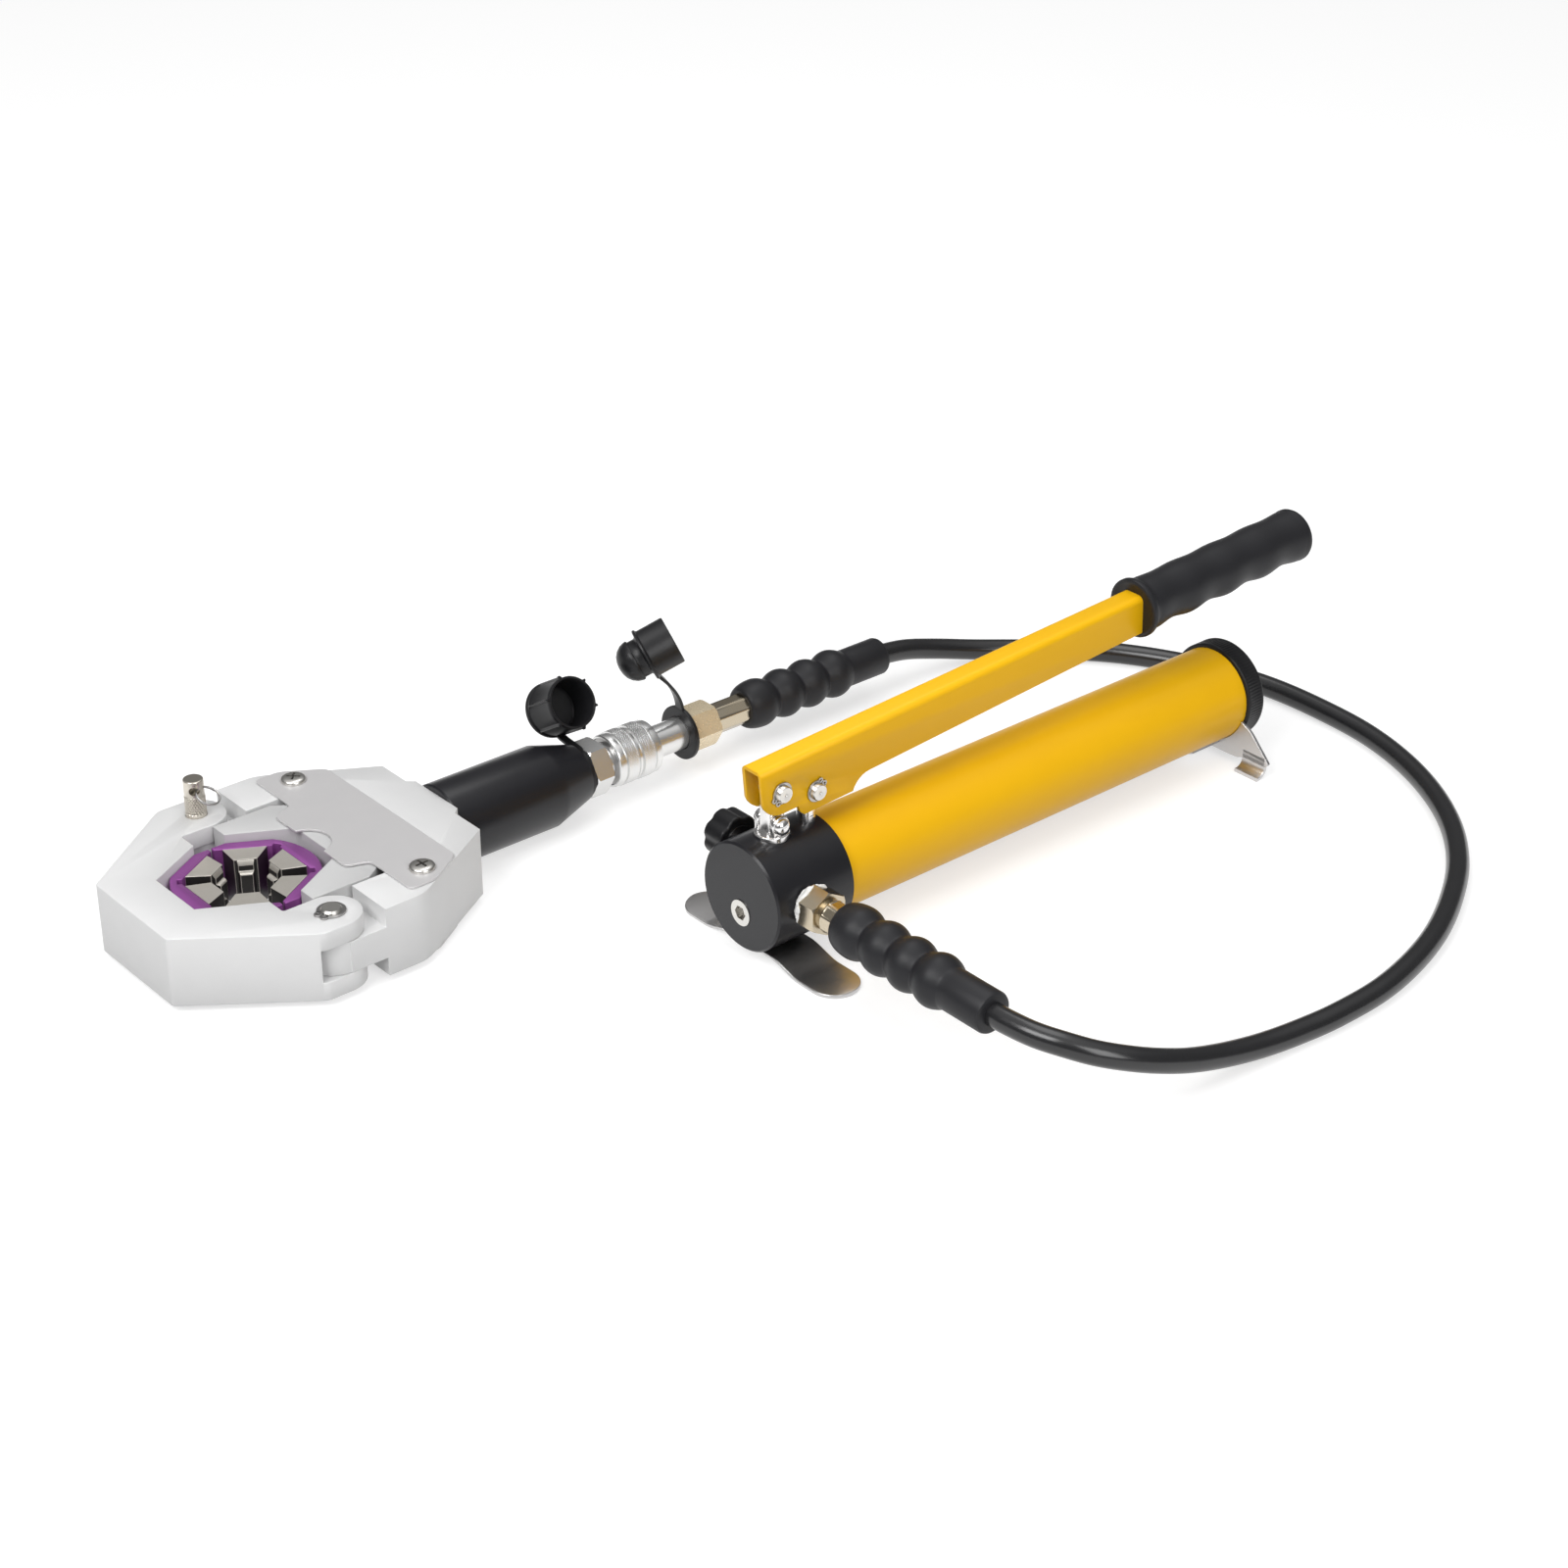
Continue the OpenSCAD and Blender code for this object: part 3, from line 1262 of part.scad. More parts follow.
module ram() {
    plan = both_sides([[notch_half, ram_notch_back], [mouth_half, -ram_tip], [ram_half, -ram_tip],
        [ram_half, ram_chamfer_y], [ram_rear_half, ram_back]]);
    color("#d4d4d5") at_head() difference() {
        translate([0, 0, -ram_half_t]) linear_extrude(2 * ram_half_t) polygon(plan);
        translate([0, ram_back - rod_tip_l - fit_gap, 0]) along_y()
            cylinder(r = rod_tip_r + fit_gap, h = rod_tip_l + over);
    }
}

module cover_plates() {
    plan = both_sides([[tongue_half, tongue_front], [tongue_root_half, plate_front],
        [plate_half, plate_front], [plate_half, plate_shoulder], [plate_rear_half, plate_rear]]);
    radii = [plate_corner_r, 0, plate_corner_r, plate_corner_r, plate_corner_r,
        plate_corner_r, plate_corner_r, plate_corner_r, 0, plate_corner_r];
    color("#c6c5c5") at_head() for (flip = [0, 1]) mirror([0, 0, flip]) translate([0, 0, head_half_t])
        linear_extrude(plate_t) difference() {
            polygon(rounded(plan, radii));
            translate([0, tongue_cut_y]) circle(r = tongue_cut_r);
            for (side = [-1, 1]) translate([side * cover_screw_x, cover_screw_y])
                circle(r = cover_screw_r + fit_gap);
        }
}

module cover_screws() {
    shank = cover_screw_l + plate_t - over;
    head_top = cover_screw_top_share * screw_head_d;
    color("#d8d6d0") at_head() for (flip = [0, 1]) mirror([0, 0, flip]) for (side = [-1, 1])
        translate([side * cover_screw_x, cover_screw_y, head_half_t + plate_t]) difference() {
            union() {
                translate([0, 0, -shank]) cylinder(r = cover_screw_r, h = shank);
                cylinder(d = screw_head_d, h = screw_head_h / 2);
                translate([0, 0, screw_head_h / 2])
                    cylinder(d1 = screw_head_d, d2 = head_top, h = screw_head_h / 2);
            }
            for (turn = [0, 90]) rotate(turn + 20)
                translate([-cover_slot_l / 2, -cover_slot_w / 2, screw_head_h - cover_slot_depth])
                    cube([cover_slot_l, cover_slot_w, cover_slot_depth + over]);
        }
}

module head_yoke() {
    arm_in = pin_v - ear_r;
    slot_front = -lug_r - lug_slot_gap;
    plan = both_sides([[nose_half, -nose_lead], [head_half_w, -shoulder_lead], [head_half_w, 0],
        [arm_in, 0], [arm_in, -mouth_lead], [mouth_half, -mouth_lead], [notch_half, -notch_lead]]);
    radii = [nose_corner_r, shoulder_r, 0, 0, step_corner_r, 0, 0,
        0, 0, step_corner_r, 0, 0, shoulder_r, nose_corner_r];
    color("#dcdcdd") at_head() difference() {
        translate([0, 0, -head_half_t]) linear_extrude(head_t) {
            polygon(rounded(plan, radii));
            for (side = [-1, 1]) translate([side * pin_v, 0]) circle(r = ear_r);
        }
        for (side = [0, 1]) mirror([side, 0, 0]) {
            translate([arm_in - over, slot_front, -lug_t / 2 - free_gap])
                cube([head_half_w - arm_in + 2 * over, ear_r + over - slot_front, lug_t + 2 * free_gap]);
            translate([pin_v, 0, -head_half_t - over])
                cylinder(r = head_pin_r + run_gap, h = head_t + 2 * over);
        }
    }
}

module hinge_pin() {
    half = head_half_t + fit_gap + pin_clip_t + pin_end_l;
    color("#d2d0ca") at_head() translate([pin_v, 0, 0]) difference() {
        translate([0, 0, -half]) cylinder(r = head_pin_r, h = 2 * half);
        for (flip = [0, 1]) mirror([0, 0, flip]) translate([0, 0, head_half_t + fit_gap])
            tube(head_pin_r + over, head_pin_r - pin_groove, pin_clip_t);
    }
}

module hinge_clips() {
    ear_place = pin_clip_r - pin_clip_ear_r / 2;
    color("#bdbbb5") at_head() for (flip = [0, 1]) mirror([0, 0, flip])
        translate([pin_v, 0, head_half_t + fit_gap]) rotate(pin_clip_turn) difference() {
            union() {
                clip(pin_clip_r, head_pin_r - pin_groove + fit_gap, pin_clip_t, pin_clip_mouth);
                for (side = [-1, 1]) translate([ear_place, side * (pin_clip_mouth / 2 + pin_clip_ear_r), 0])
                    cylinder(r = pin_clip_ear_r, h = pin_clip_t);
            }
            for (side = [-1, 1]) translate([ear_place, side * (pin_clip_mouth / 2 + pin_clip_ear_r), -over])
                cylinder(r = pin_clip_hole_r, h = pin_clip_t + 2 * over);
        }
}

module pull_pin() {
    foot = head_half_t - ear_t + free_gap;
    top = head_half_t + pull_pin_rise;
    rim = head_pin_r - pull_pin_chamfer;
    color("#cbc8bf") at_head() translate([-pin_v, 0, 0]) difference() {
        rotate_extrude() polygon([[0, foot], [rim, foot], [head_pin_r, foot + pull_pin_chamfer],
            [head_pin_r, top - pull_pin_chamfer], [rim, top], [0, top]]);
        rotate(ring_az) translate([pull_hole_off, 0, top - pull_hole_drop]) rotate([90, 0, 0])
            cylinder(r = pull_hole_r, h = 2 * head_pin_r + 2 * over, center = true);
    }
}

module pull_ring() {
    hole_z = head_half_t + pull_pin_rise - pull_hole_drop;
    color("#c9c9cb") at_head() translate([-pin_v, 0, hole_z]) rotate(ring_az)
        translate([pull_hole_off, 0, 0]) rotate([0, -ring_tilt, 0]) translate([0, 0, -ring_r])
            along_x() rotate_extrude() translate([ring_r, 0]) circle(r = ring_wire_r);
}

// Plan of one die carrier, rear half: flats on the slanted sides, jaw seats and slots inside
module carrier_plan() {
    reach = 2 * carrier_r;
    difference() {
        intersection() {
            circle(r = carrier_r);
            translate([-carrier_half, die_gap / 2]) square([2 * carrier_half, carrier_r]);
            rotate(30) translate([-reach, -reach]) square([reach + carrier_flat, 2 * reach]);
            rotate(150) translate([-reach, -reach]) square([reach + carrier_flat, 2 * reach]);
        }
        circle(r = jaw_back / cos(30), $fn = 6);
        for (a = [60, 120]) rotate(a) translate([die_slot_in, -die_slot_w / 2])
            square([die_slot_out - die_slot_in, die_slot_w]);
    }
}

module die_carrier() {
    color("#8a4f90") translate([0, 0, -die_h / 2]) linear_extrude(die_h) carrier_plan();
}

// Three steel jaws of the rear die half, each with a stepped lip
module die_jaws() {
    color("#bcb8b0") for (a = [-60, 0, 60]) rotate(a) {
        translate([0, 0, -die_h / 2]) linear_extrude(die_h) polygon(both_sides([[jaw_back_half, jaw_back],
            [jaw_face_half, jaw_face]]));
        translate([0, 0, -jaw_lip_h / 2]) linear_extrude(jaw_lip_h)
            polygon(both_sides([[jaw_face_half, jaw_face + over], [jaw_face_half, jaw_face],
                [jaw_lip_half, jaw_lip]]));
    }
}

module front_die_carrier() {
    at_dies() rotate(180) die_carrier();
}

module front_die_jaws() {
    at_dies() rotate(180) die_jaws();
}

module rear_die_carrier() {
    at_dies() die_carrier();
}

module rear_die_jaws() {
    at_dies() die_jaws();
}

pump_head();
reservoir_tube();
reservoir_cap();
cap_seal();
rear_stand();
rear_stand_screw();
front_stand();
front_stand_screws();
relief_plug();
relief_spring();
relief_ball();
check_balls();
check_springs();
suction_tube();
release_stem();
release_knob();
fulcrum_base();
fulcrum_base_pin();
fulcrum_link();
lever();
lever_grip();
fulcrum_pin();
plunger_pin();
lever_circlips();
plunger();
plunger_seal();
thread_tape();
pump_fitting();
pump_ferrule();
pump_grip();
hose();
head_grip();
head_ferrule();
head_nut();
coupler_plug();
plug_cap();
coupler_socket();
coupler_sleeve();
sleeve_spring();
sleeve_ring();
coupler_balls();
socket_cap();
cylinder_barrel();
piston();
piston_seal();
return_spring();
head_body();
ram();
cover_plates();
cover_screws();
head_yoke();
hinge_pin();
hinge_clips();
pull_pin();
pull_ring();
front_die_carrier();
front_die_jaws();
rear_die_carrier();
rear_die_jaws();
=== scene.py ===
"""Studio scene of a hand-pumped hydraulic hose crimper: pump, hose, quick coupler and crimping head."""
import math

import bmesh
import bpy
from mathutils import Matrix, Vector
from mathutils import noise as field


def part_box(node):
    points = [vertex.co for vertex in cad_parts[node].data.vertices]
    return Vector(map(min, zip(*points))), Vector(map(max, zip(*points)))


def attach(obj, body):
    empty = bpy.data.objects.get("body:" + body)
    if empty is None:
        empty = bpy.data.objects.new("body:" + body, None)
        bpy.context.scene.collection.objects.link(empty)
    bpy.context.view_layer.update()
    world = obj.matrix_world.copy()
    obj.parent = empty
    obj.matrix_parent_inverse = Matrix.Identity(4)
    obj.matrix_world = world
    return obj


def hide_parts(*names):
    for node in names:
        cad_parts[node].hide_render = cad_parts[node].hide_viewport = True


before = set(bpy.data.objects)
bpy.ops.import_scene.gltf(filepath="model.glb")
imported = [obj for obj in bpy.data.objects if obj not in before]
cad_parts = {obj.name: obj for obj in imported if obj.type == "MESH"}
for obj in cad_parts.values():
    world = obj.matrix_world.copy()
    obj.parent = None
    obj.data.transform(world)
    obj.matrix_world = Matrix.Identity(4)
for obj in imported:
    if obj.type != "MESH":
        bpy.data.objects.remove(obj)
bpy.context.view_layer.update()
MM = 0.001
TURN = 2 * math.pi
ACROSS, ALONG, UP = Vector((1, 0, 0)), Vector((0, 1, 0)), Vector((0, 0, 1))
SIDES = (-1, 1)
SMOOTH_ANGLE, PLATE_ANGLE, KNURL_ANGLE, CRIMP_ANGLE = 40, 35, 30, 25
SPLIT_ANGLE, FLAT_ANGLE, EDGE_ANGLE = 30, 0.6, 28
WELD_GAP = 2e-6
CORNER_DIVISOR = 2.2


# Helpers: places read from the frame

def low(node):
    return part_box(node)[0]


def high(node):
    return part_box(node)[1]


def middle(node):
    return (low(node) + high(node)) / 2


def span(node, along):
    """Start of a node along a direction, and its length in millimetres."""
    length = abs((high(node) - low(node)).dot(along))
    return middle(node) - along * length / 2, length / MM


def at(origin, x, y, z):
    """Point some millimetres away from a frame point."""
    return origin + Vector((x, y, z)) * MM


def spot(origin, along, up=UP):
    """Matrix that takes millimetres to the frame: Z along a direction, Y as near to up as it can be."""
    z = Vector(along).normalized()
    x = Vector(up).cross(z).normalized()
    y = z.cross(x)
    return Matrix.Translation(origin) @ Matrix((x, y, z)).transposed().to_4x4() @ Matrix.Scale(MM, 4)


def upright(origin):
    """Matrix that takes millimetres to the frame, along the frame's own directions."""
    return Matrix.Translation(origin) @ Matrix.Scale(MM, 4)


def shift(x, y, z):
    return Matrix.Translation((x, y, z))


def turned(degrees, axis="Z"):
    return Matrix.Rotation(math.radians(degrees), 4, axis)


PUMP = Vector((middle("reservoir_tube").x, low("pump_head").y, middle("reservoir_tube").z))
HEAD = Vector((middle("cylinder_barrel").x, middle("hinge_pin").y, middle("cylinder_barrel").z))
LEVER_TILT = math.radians(2.8)
LEVER_ALONG = Vector((0, math.cos(LEVER_TILT), math.sin(LEVER_TILT)))
LEVER_UP = Vector((0, -math.sin(LEVER_TILT), math.cos(LEVER_TILT)))
LEVER = spot(middle("fulcrum_pin"), LEVER_ALONG, LEVER_UP)


# Helpers: outlines and paths

def angles(end, steps, start=0):
    """Even steps from start to end, given in degrees, as radians."""
    return [math.radians(start + (end - start) * i / steps) for i in range(steps + 1)]


def arc(r, start, end, steps, centre=(0, 0)):
    """Points of a circle's arc, angles in degrees."""
    return [(centre[0] + r * math.cos(a), centre[1] + r * math.sin(a)) for a in angles(end, steps, start)]


def circle(r, sides, centre):
    return arc(r, 0, 360 * (sides - 1) / sides, sides - 1, centre)


def rounded(corners, radius, steps=5, closed=False):
    """Corners with each inner one turned into a small arc; closed rounds the first and last too."""
    loop = [corners[-1], *corners, corners[0]] if closed else corners
    points = [] if closed else [corners[0]]
    for before, corner, after in zip(loop, loop[1:], loop[2:]):
        b, c, a = Vector(before), Vector(corner), Vector(after)
        reach = min(radius, (b - c).length / CORNER_DIVISOR, (a - c).length / CORNER_DIVISOR)
        start, end = c + (b - c).normalized() * reach, c + (a - c).normalized() * reach
        for i in range(steps + 1):
            t = i / steps
            points.append(tuple(start * (1 - t) ** 2 + c * 2 * t * (1 - t) + end * t ** 2))
    return points if closed else points + [corners[-1]]


def oblong(half_w, half_h, edge, steps):
    """Rectangle about the middle, with rounded corners."""
    corners = [(-half_w, -half_h), (half_w, -half_h), (half_w, half_h), (-half_w, half_h)]
    return rounded(corners, edge, steps, closed=True)


def tangent(path, i):
    return (path[min(i + 1, len(path) - 1)] - path[max(i - 1, 0)]).normalized()


def bezier(a, b, c, d, steps=16):
    ts = [i / steps for i in range(steps + 1)]
    return [a * (1 - t) ** 3 + b * 3 * t * (1 - t) ** 2 + c * 3 * t * t * (1 - t) + d * t ** 3 for t in ts]


def smooth_path(points, steps):
    """Catmull-Rom curve through points, with a few steps between each pair."""
    pts = [Vector(p) for p in points]
    path = []
    for i in range(len(pts) - 1):
        a, b, c, d = pts[max(i - 1, 0)], pts[i], pts[i + 1], pts[min(i + 2, len(pts) - 1)]
        for k in range(steps):
            t = k / steps
            bend = a - 2.5 * b + 2 * c - d / 2 + t * (1.5 * (b - c) + (d - a) / 2)
            path.append(b + t * ((c - a) / 2 + t * bend))
    return path + [pts[-1]]


# Helpers: meshes, drawn in millimetres

def add_piece(name, mesh, smooth_angle):
    mesh.shade_smooth()
    mesh.set_sharp_from_angle(angle=math.radians(smooth_angle))
    piece = bpy.data.objects.new(name, mesh)
    bpy.context.scene.collection.objects.link(piece)
    return piece


def add_mesh(name, verts, faces, smooth_angle=SMOOTH_ANGLE):
    mesh = bpy.data.meshes.new(name)
    mesh.from_pydata([tuple(v) for v in verts], [], faces)
    mesh.validate()
    work = bmesh.new()
    work.from_mesh(mesh)
    bmesh.ops.recalc_face_normals(work, faces=work.faces)
    work.to_mesh(mesh)
    work.free()
    return add_piece(name, mesh, smooth_angle)


def skin(name, rings, place, closed=False, smooth_angle=SMOOTH_ANGLE):
    """Surface through rings of points; closed joins the last ring to the first."""
    count = len(rings[0])
    verts = [place @ Vector(p) for ring in rings for p in ring]
    faces = []
    spans = len(rings) if closed else len(rings) - 1
    for i in range(spans):
        a, b = i * count, (i + 1) % len(rings) * count
        for j in range(count):
            k = (j + 1) % count
            faces.append((a + j, a + k, b + k, b + j))
    if not closed:
        faces.append(tuple(range(count)))
        faces.append(tuple(range((len(rings) - 1) * count, len(rings) * count)))
    return add_mesh(name, verts, faces, smooth_angle)


def lathe(name, profile, place, segments=96, shape=None, closed=False, smooth_angle=SMOOTH_ANGLE):
    """Body turned about the place's Z from (radius, z) pairs; shape(angle, radius, z) adds to the radius."""
    rings = []
    for radius, z in profile:
        ring = []
        for j in range(segments):
            angle = TURN * j / segments
            r = radius + (shape(angle, radius, z) if shape else 0)
            ring.append((r * math.cos(angle), r * math.sin(angle), z))
        rings.append(ring)
    return skin(name, rings, place, closed, smooth_angle)


def bar(name, half, end, place):
    """Round bar with one shape at both ends, given as (radius, height past the half length) pairs."""
    profile = [(r, -half - z) for r, z in end] + [(r, half + z) for r, z in reversed(end)]
    return lathe(name, profile, place)


def flat_ring(name, r_in, r_out, thick, place):
    edge = 0.7
    corners = [(r_in, 0), (r_out, 0), (r_out, thick), (r_in, thick)]
    return lathe(name, rounded(corners, edge, steps=4, closed=True), place, closed=True)


def plate(name, outlines, thickness, edge, place):
    """Flat piece from closed outlines, the inner ones holes, with rounded edges.

    It stands on the place's XY.
    """
    data = bpy.data.curves.new(name, "CURVE")
    data.dimensions = "2D"
    data.fill_mode = "BOTH"
    data.extrude = thickness / 2 - edge
    data.bevel_depth = edge
    data.bevel_resolution = 2
    data.offset = -edge
    for outline in outlines:
        spline = data.splines.new("POLY")
        spline.points.add(len(outline) - 1)
        spline.use_cyclic_u = True
        for point, (x, y) in zip(spline.points, outline):
            point.co = (x, y, 0, 1)
    curve = bpy.data.objects.new(name, data)
    mesh = bpy.data.meshes.new_from_object(curve)
    bpy.data.objects.remove(curve)
    mesh.transform(place @ shift(0, 0, thickness / 2))
    return add_piece(name, mesh, PLATE_ANGLE)


def strip(name, path, width, thick, place, edge=0.6):
    """Bent sheet along a path of (y, z) points, its width across X."""
    points = [Vector(p) for p in path]
    section = oblong(width / 2, thick / 2, edge, steps=3)
    rings = []
    for i, (y, z) in enumerate(points):
        t = tangent(points, i)
        rings.append([(x, y - t.y * n, z + t.x * n) for x, n in section])
    return skin(name, rings, place)


def band(name, path, across, width, thick, edge=0.6):
    """Flat rubber strap along frame points, with its width direction given at each of them."""
    section = oblong(width / 2, thick / 2, edge, steps=3)
    rings = []
    for i, (point, side) in enumerate(zip(path, across)):
        t = tangent(path, i)
        side = (side - t * side.dot(t)).normalized()
        out = t.cross(side)
        rings.append([point + (side * a + out * b) * MM for a, b in section])
    return skin(name, rings, Matrix.Identity(4))


def tube(name, path, r, sides=12):
    """Round wire along a path of frame points, in metres."""
    steep = 0.9
    rings = []
    for i, point in enumerate(path):
        t = tangent(path, i)
        e = t.cross(UP if abs(t.z) < steep else ACROSS).normalized()
        f = e.cross(t)
        rings.append([point + r * (math.cos(TURN * j / sides) * e + math.sin(TURN * j / sides) * f)
                      for j in range(sides)])
    return skin(name, rings, Matrix.Identity(4))


def join(name, pieces):
    bpy.ops.object.select_all(action="DESELECT")
    for piece in pieces:
        piece.select_set(True)
    bpy.context.view_layer.objects.active = pieces[0]
    bpy.ops.object.join()
    pieces[0].name = name
    return pieces[0]


def cut(piece, tool):
    """Takes one piece out of another."""
    away = piece.modifiers.new("cut", "BOOLEAN")
    away.operation = "DIFFERENCE"
    away.solver = "EXACT"
    away.object = tool
    bpy.context.view_layer.objects.active = piece
    bpy.ops.object.modifier_apply(modifier=away.name)
    bpy.data.objects.remove(tool)
    piece.data.shade_smooth()
    piece.data.set_sharp_from_angle(angle=math.radians(PLATE_ANGLE))
    return piece


def welded(node):
    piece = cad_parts[node]
    piece.data.shade_smooth()
    weld = piece.modifiers.new("weld", "WELD")
    weld.merge_threshold = WELD_GAP
    return piece


def crisp(node):
    """Clean smooth and sharp shading on a CAD node, by modifiers alone."""
    piece = welded(node)
    split = piece.modifiers.new("split", "EDGE_SPLIT")
    split.split_angle = math.radians(SPLIT_ANGLE)
    split.use_edge_sharp = False
    return piece


def round_edges(piece, width):
    edge = piece.modifiers.new("edge", "BEVEL")
    edge.width = width
    edge.segments = 2
    edge.limit_method = "ANGLE"
    edge.harden_normals = True
    return edge


def soften(node, width):
    """Small rounded edges on a CAD node, by modifiers alone."""
    piece = welded(node)
    flat = piece.modifiers.new("flat", "DECIMATE")
    flat.decimate_type = "DISSOLVE"
    flat.angle_limit = math.radians(FLAT_ANGLE)
    edge = round_edges(piece, width)
    edge.angle_limit = math.radians(EDGE_ANGLE)
    edge.use_clamp_overlap = True
    return piece


def dress(piece, *materials):
    piece.data.materials.clear()
    for material in materials:
        piece.data.materials.append(material)
    return piece


def paint(piece, choice):
    """Gives each face of a piece the material that choice(face index) numbers."""
    for i, polygon in enumerate(piece.data.polygons):
        polygon.material_index = choice(i)
    return piece


def place_on(piece, material, body, slot, *nodes):
    """Dresses a new piece, unless it is painted already, and hangs it on its body.

    The CAD nodes that it stands for are hidden.
    """
    if material:
        dress(piece, material)
    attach(piece, body)
    if nodes:
        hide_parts(*nodes)
    return piece


# Materials

RELIEF = 0.1 * MM
DRIFT_DETAIL = 4.0
MIX_FACTOR, MIX_A, MIX_B, MIX_RESULT = 0, 6, 7, 2
SATIN = dict(metallic=0.12, roughness=0.5, grain=900, bump=0.12, gloss=(0.44, 0.56), tint=(0.95, 0.95, 0.95),
             stretch=(1, 0.08, 1))
MATERIALS = {
    "aluminium": dict(name="satin_aluminium", color=(0.70, 0.70, 0.70), **SATIN),
    "ram": dict(name="ram_aluminium", color=(0.53, 0.53, 0.53), **SATIN),
    "cover": dict(name="cover_steel", color=(0.60, 0.59, 0.59), metallic=0.3, roughness=0.4,
                  grain=1400, bump=0.2, gloss=(0.34, 0.46), tint=(0.95, 0.95, 0.96), stretch=(0.04, 1, 1)),
    "black": dict(name="black_anodised", color=(0.010, 0.010, 0.012), roughness=0.27, specular=0.36,
                  grain=2600, bump=0.1, gloss=(0.24, 0.36), tint=(1.4, 1.4, 1.4)),
    "yellow": dict(name="yellow_paint", color=(0.85, 0.47, 0.004), roughness=0.38, specular=0.25,
                   grain=700, bump=0.04, gloss=(0.32, 0.42), tint=(0.98, 0.96, 0.9)),
    "rubber": dict(name="grip_rubber", color=(0.013, 0.013, 0.015), roughness=0.42, specular=0.3,
                   grain=2200, bump=0.2, gloss=(0.38, 0.52), tint=(1.3, 1.3, 1.3)),
    "hose": dict(name="hose_rubber", color=(0.012, 0.012, 0.013), roughness=0.22, specular=0.6,
                 grain=1500, bump=0.06, gloss=(0.18, 0.28), tint=(1.4, 1.4, 1.4)),
    "cap_rubber": dict(name="cap_rubber", color=(0.008, 0.008, 0.009), roughness=0.36, specular=0.35,
                       grain=1800, bump=0.12, gloss=(0.28, 0.46), tint=(1.5, 1.5, 1.5)),
    "plastic": dict(name="black_plastic", color=(0.008, 0.008, 0.009), roughness=0.36, specular=0.3,
                    grain=2400, bump=0.15, gloss=(0.3, 0.46), tint=(1.4, 1.4, 1.4)),
    "chrome": dict(name="bright_chrome", color=(0.84, 0.83, 0.82), metallic=1, roughness=0.2,
                   grain=350, gloss=(0.17, 0.22), tint=(0.95, 0.95, 0.96)),
    "nickel": dict(name="satin_nickel", color=(0.84, 0.84, 0.83), metallic=0.85, roughness=0.24,
                   grain=350, gloss=(0.22, 0.27), tint=(0.94, 0.94, 0.95)),
    "zinc": dict(name="grey_zinc", color=(0.55, 0.50, 0.40), metallic=1, roughness=0.22,
                 grain=350, gloss=(0.2, 0.24), tint=(1.06, 0.98, 0.88), patch=90),
    "gold": dict(name="yellow_zinc", color=(0.92, 0.80, 0.58), metallic=0.55, roughness=0.28,
                 grain=350, gloss=(0.25, 0.29), tint=(1.03, 0.98, 0.9), patch=90),
    "stand": dict(name="stand_steel", color=(0.62, 0.61, 0.60), metallic=1, roughness=0.36,
                  grain=1300, gloss=(0.3, 0.42), tint=(0.92, 0.92, 0.94), stretch=(1, 0.06, 1)),
    "purple": dict(name="purple_anodised", color=(0.30, 0.085, 0.32), metallic=0.5, roughness=0.4,
                   grain=1500, bump=0.12, gloss=(0.34, 0.48), tint=(0.88, 0.82, 0.9)),
    "jaw": dict(name="ground_jaw", color=(0.64, 0.61, 0.56), metallic=0.7, roughness=0.36,
                grain=700, bump=0.1, gloss=(0.3, 0.44), tint=(0.9, 0.89, 0.87), patch=220),
    # Dark steel that paints shade: on the jaws' flanks and inner faces, and on the floor of each screw's
    # cross recess.
    "painted_shade": dict(name="painted_shade_steel", color=(0.018, 0.017, 0.017), metallic=0.3, roughness=0.34,
                  grain=900, bump=0.15, gloss=(0.28, 0.46), tint=(1.7, 1.6, 1.5), patch=160),
    "screw": dict(name="zinc_screw", color=(0.70, 0.68, 0.64), metallic=1, roughness=0.28,
                  grain=350, gloss=(0.26, 0.31), tint=(0.92, 0.93, 0.95)),
    "pin": dict(name="warm_nickel", color=(0.66, 0.62, 0.55), metallic=1, roughness=0.28,
                grain=350, gloss=(0.26, 0.31), tint=(0.94, 0.93, 0.92)),
    "spring": dict(name="spring_steel", color=(0.46, 0.45, 0.44), metallic=1, roughness=0.3,
                   grain=350, gloss=(0.28, 0.33), tint=(0.88, 0.88, 0.9)),
    "tape": dict(name="ptfe_tape", color=(0.80, 0.80, 0.79), roughness=0.55,
                 grain=700, bump=0.6, gloss=(0.45, 0.65), tint=(0.93, 0.93, 0.92)),
}


def node_of(material, kind, **settings):
    node = material.node_tree.nodes.new(kind)
    for key, value in settings.items():
        setattr(node, key, value)
    return node


def link(material, out, into):
    material.node_tree.links.new(out, into)


def noise(material, scale, stretch=(1, 1, 1), detail=3.0):
    coords = node_of(material, "ShaderNodeTexCoord")
    mapping = node_of(material, "ShaderNodeMapping")
    mapping.inputs["Scale"].default_value = stretch
    texture = node_of(material, "ShaderNodeTexNoise")
    texture.inputs["Scale"].default_value = scale
    texture.inputs["Detail"].default_value = detail
    link(material, coords.outputs["Object"], mapping.inputs["Vector"])
    link(material, mapping.outputs["Vector"], texture.inputs["Vector"])
    return texture.outputs["Fac"]


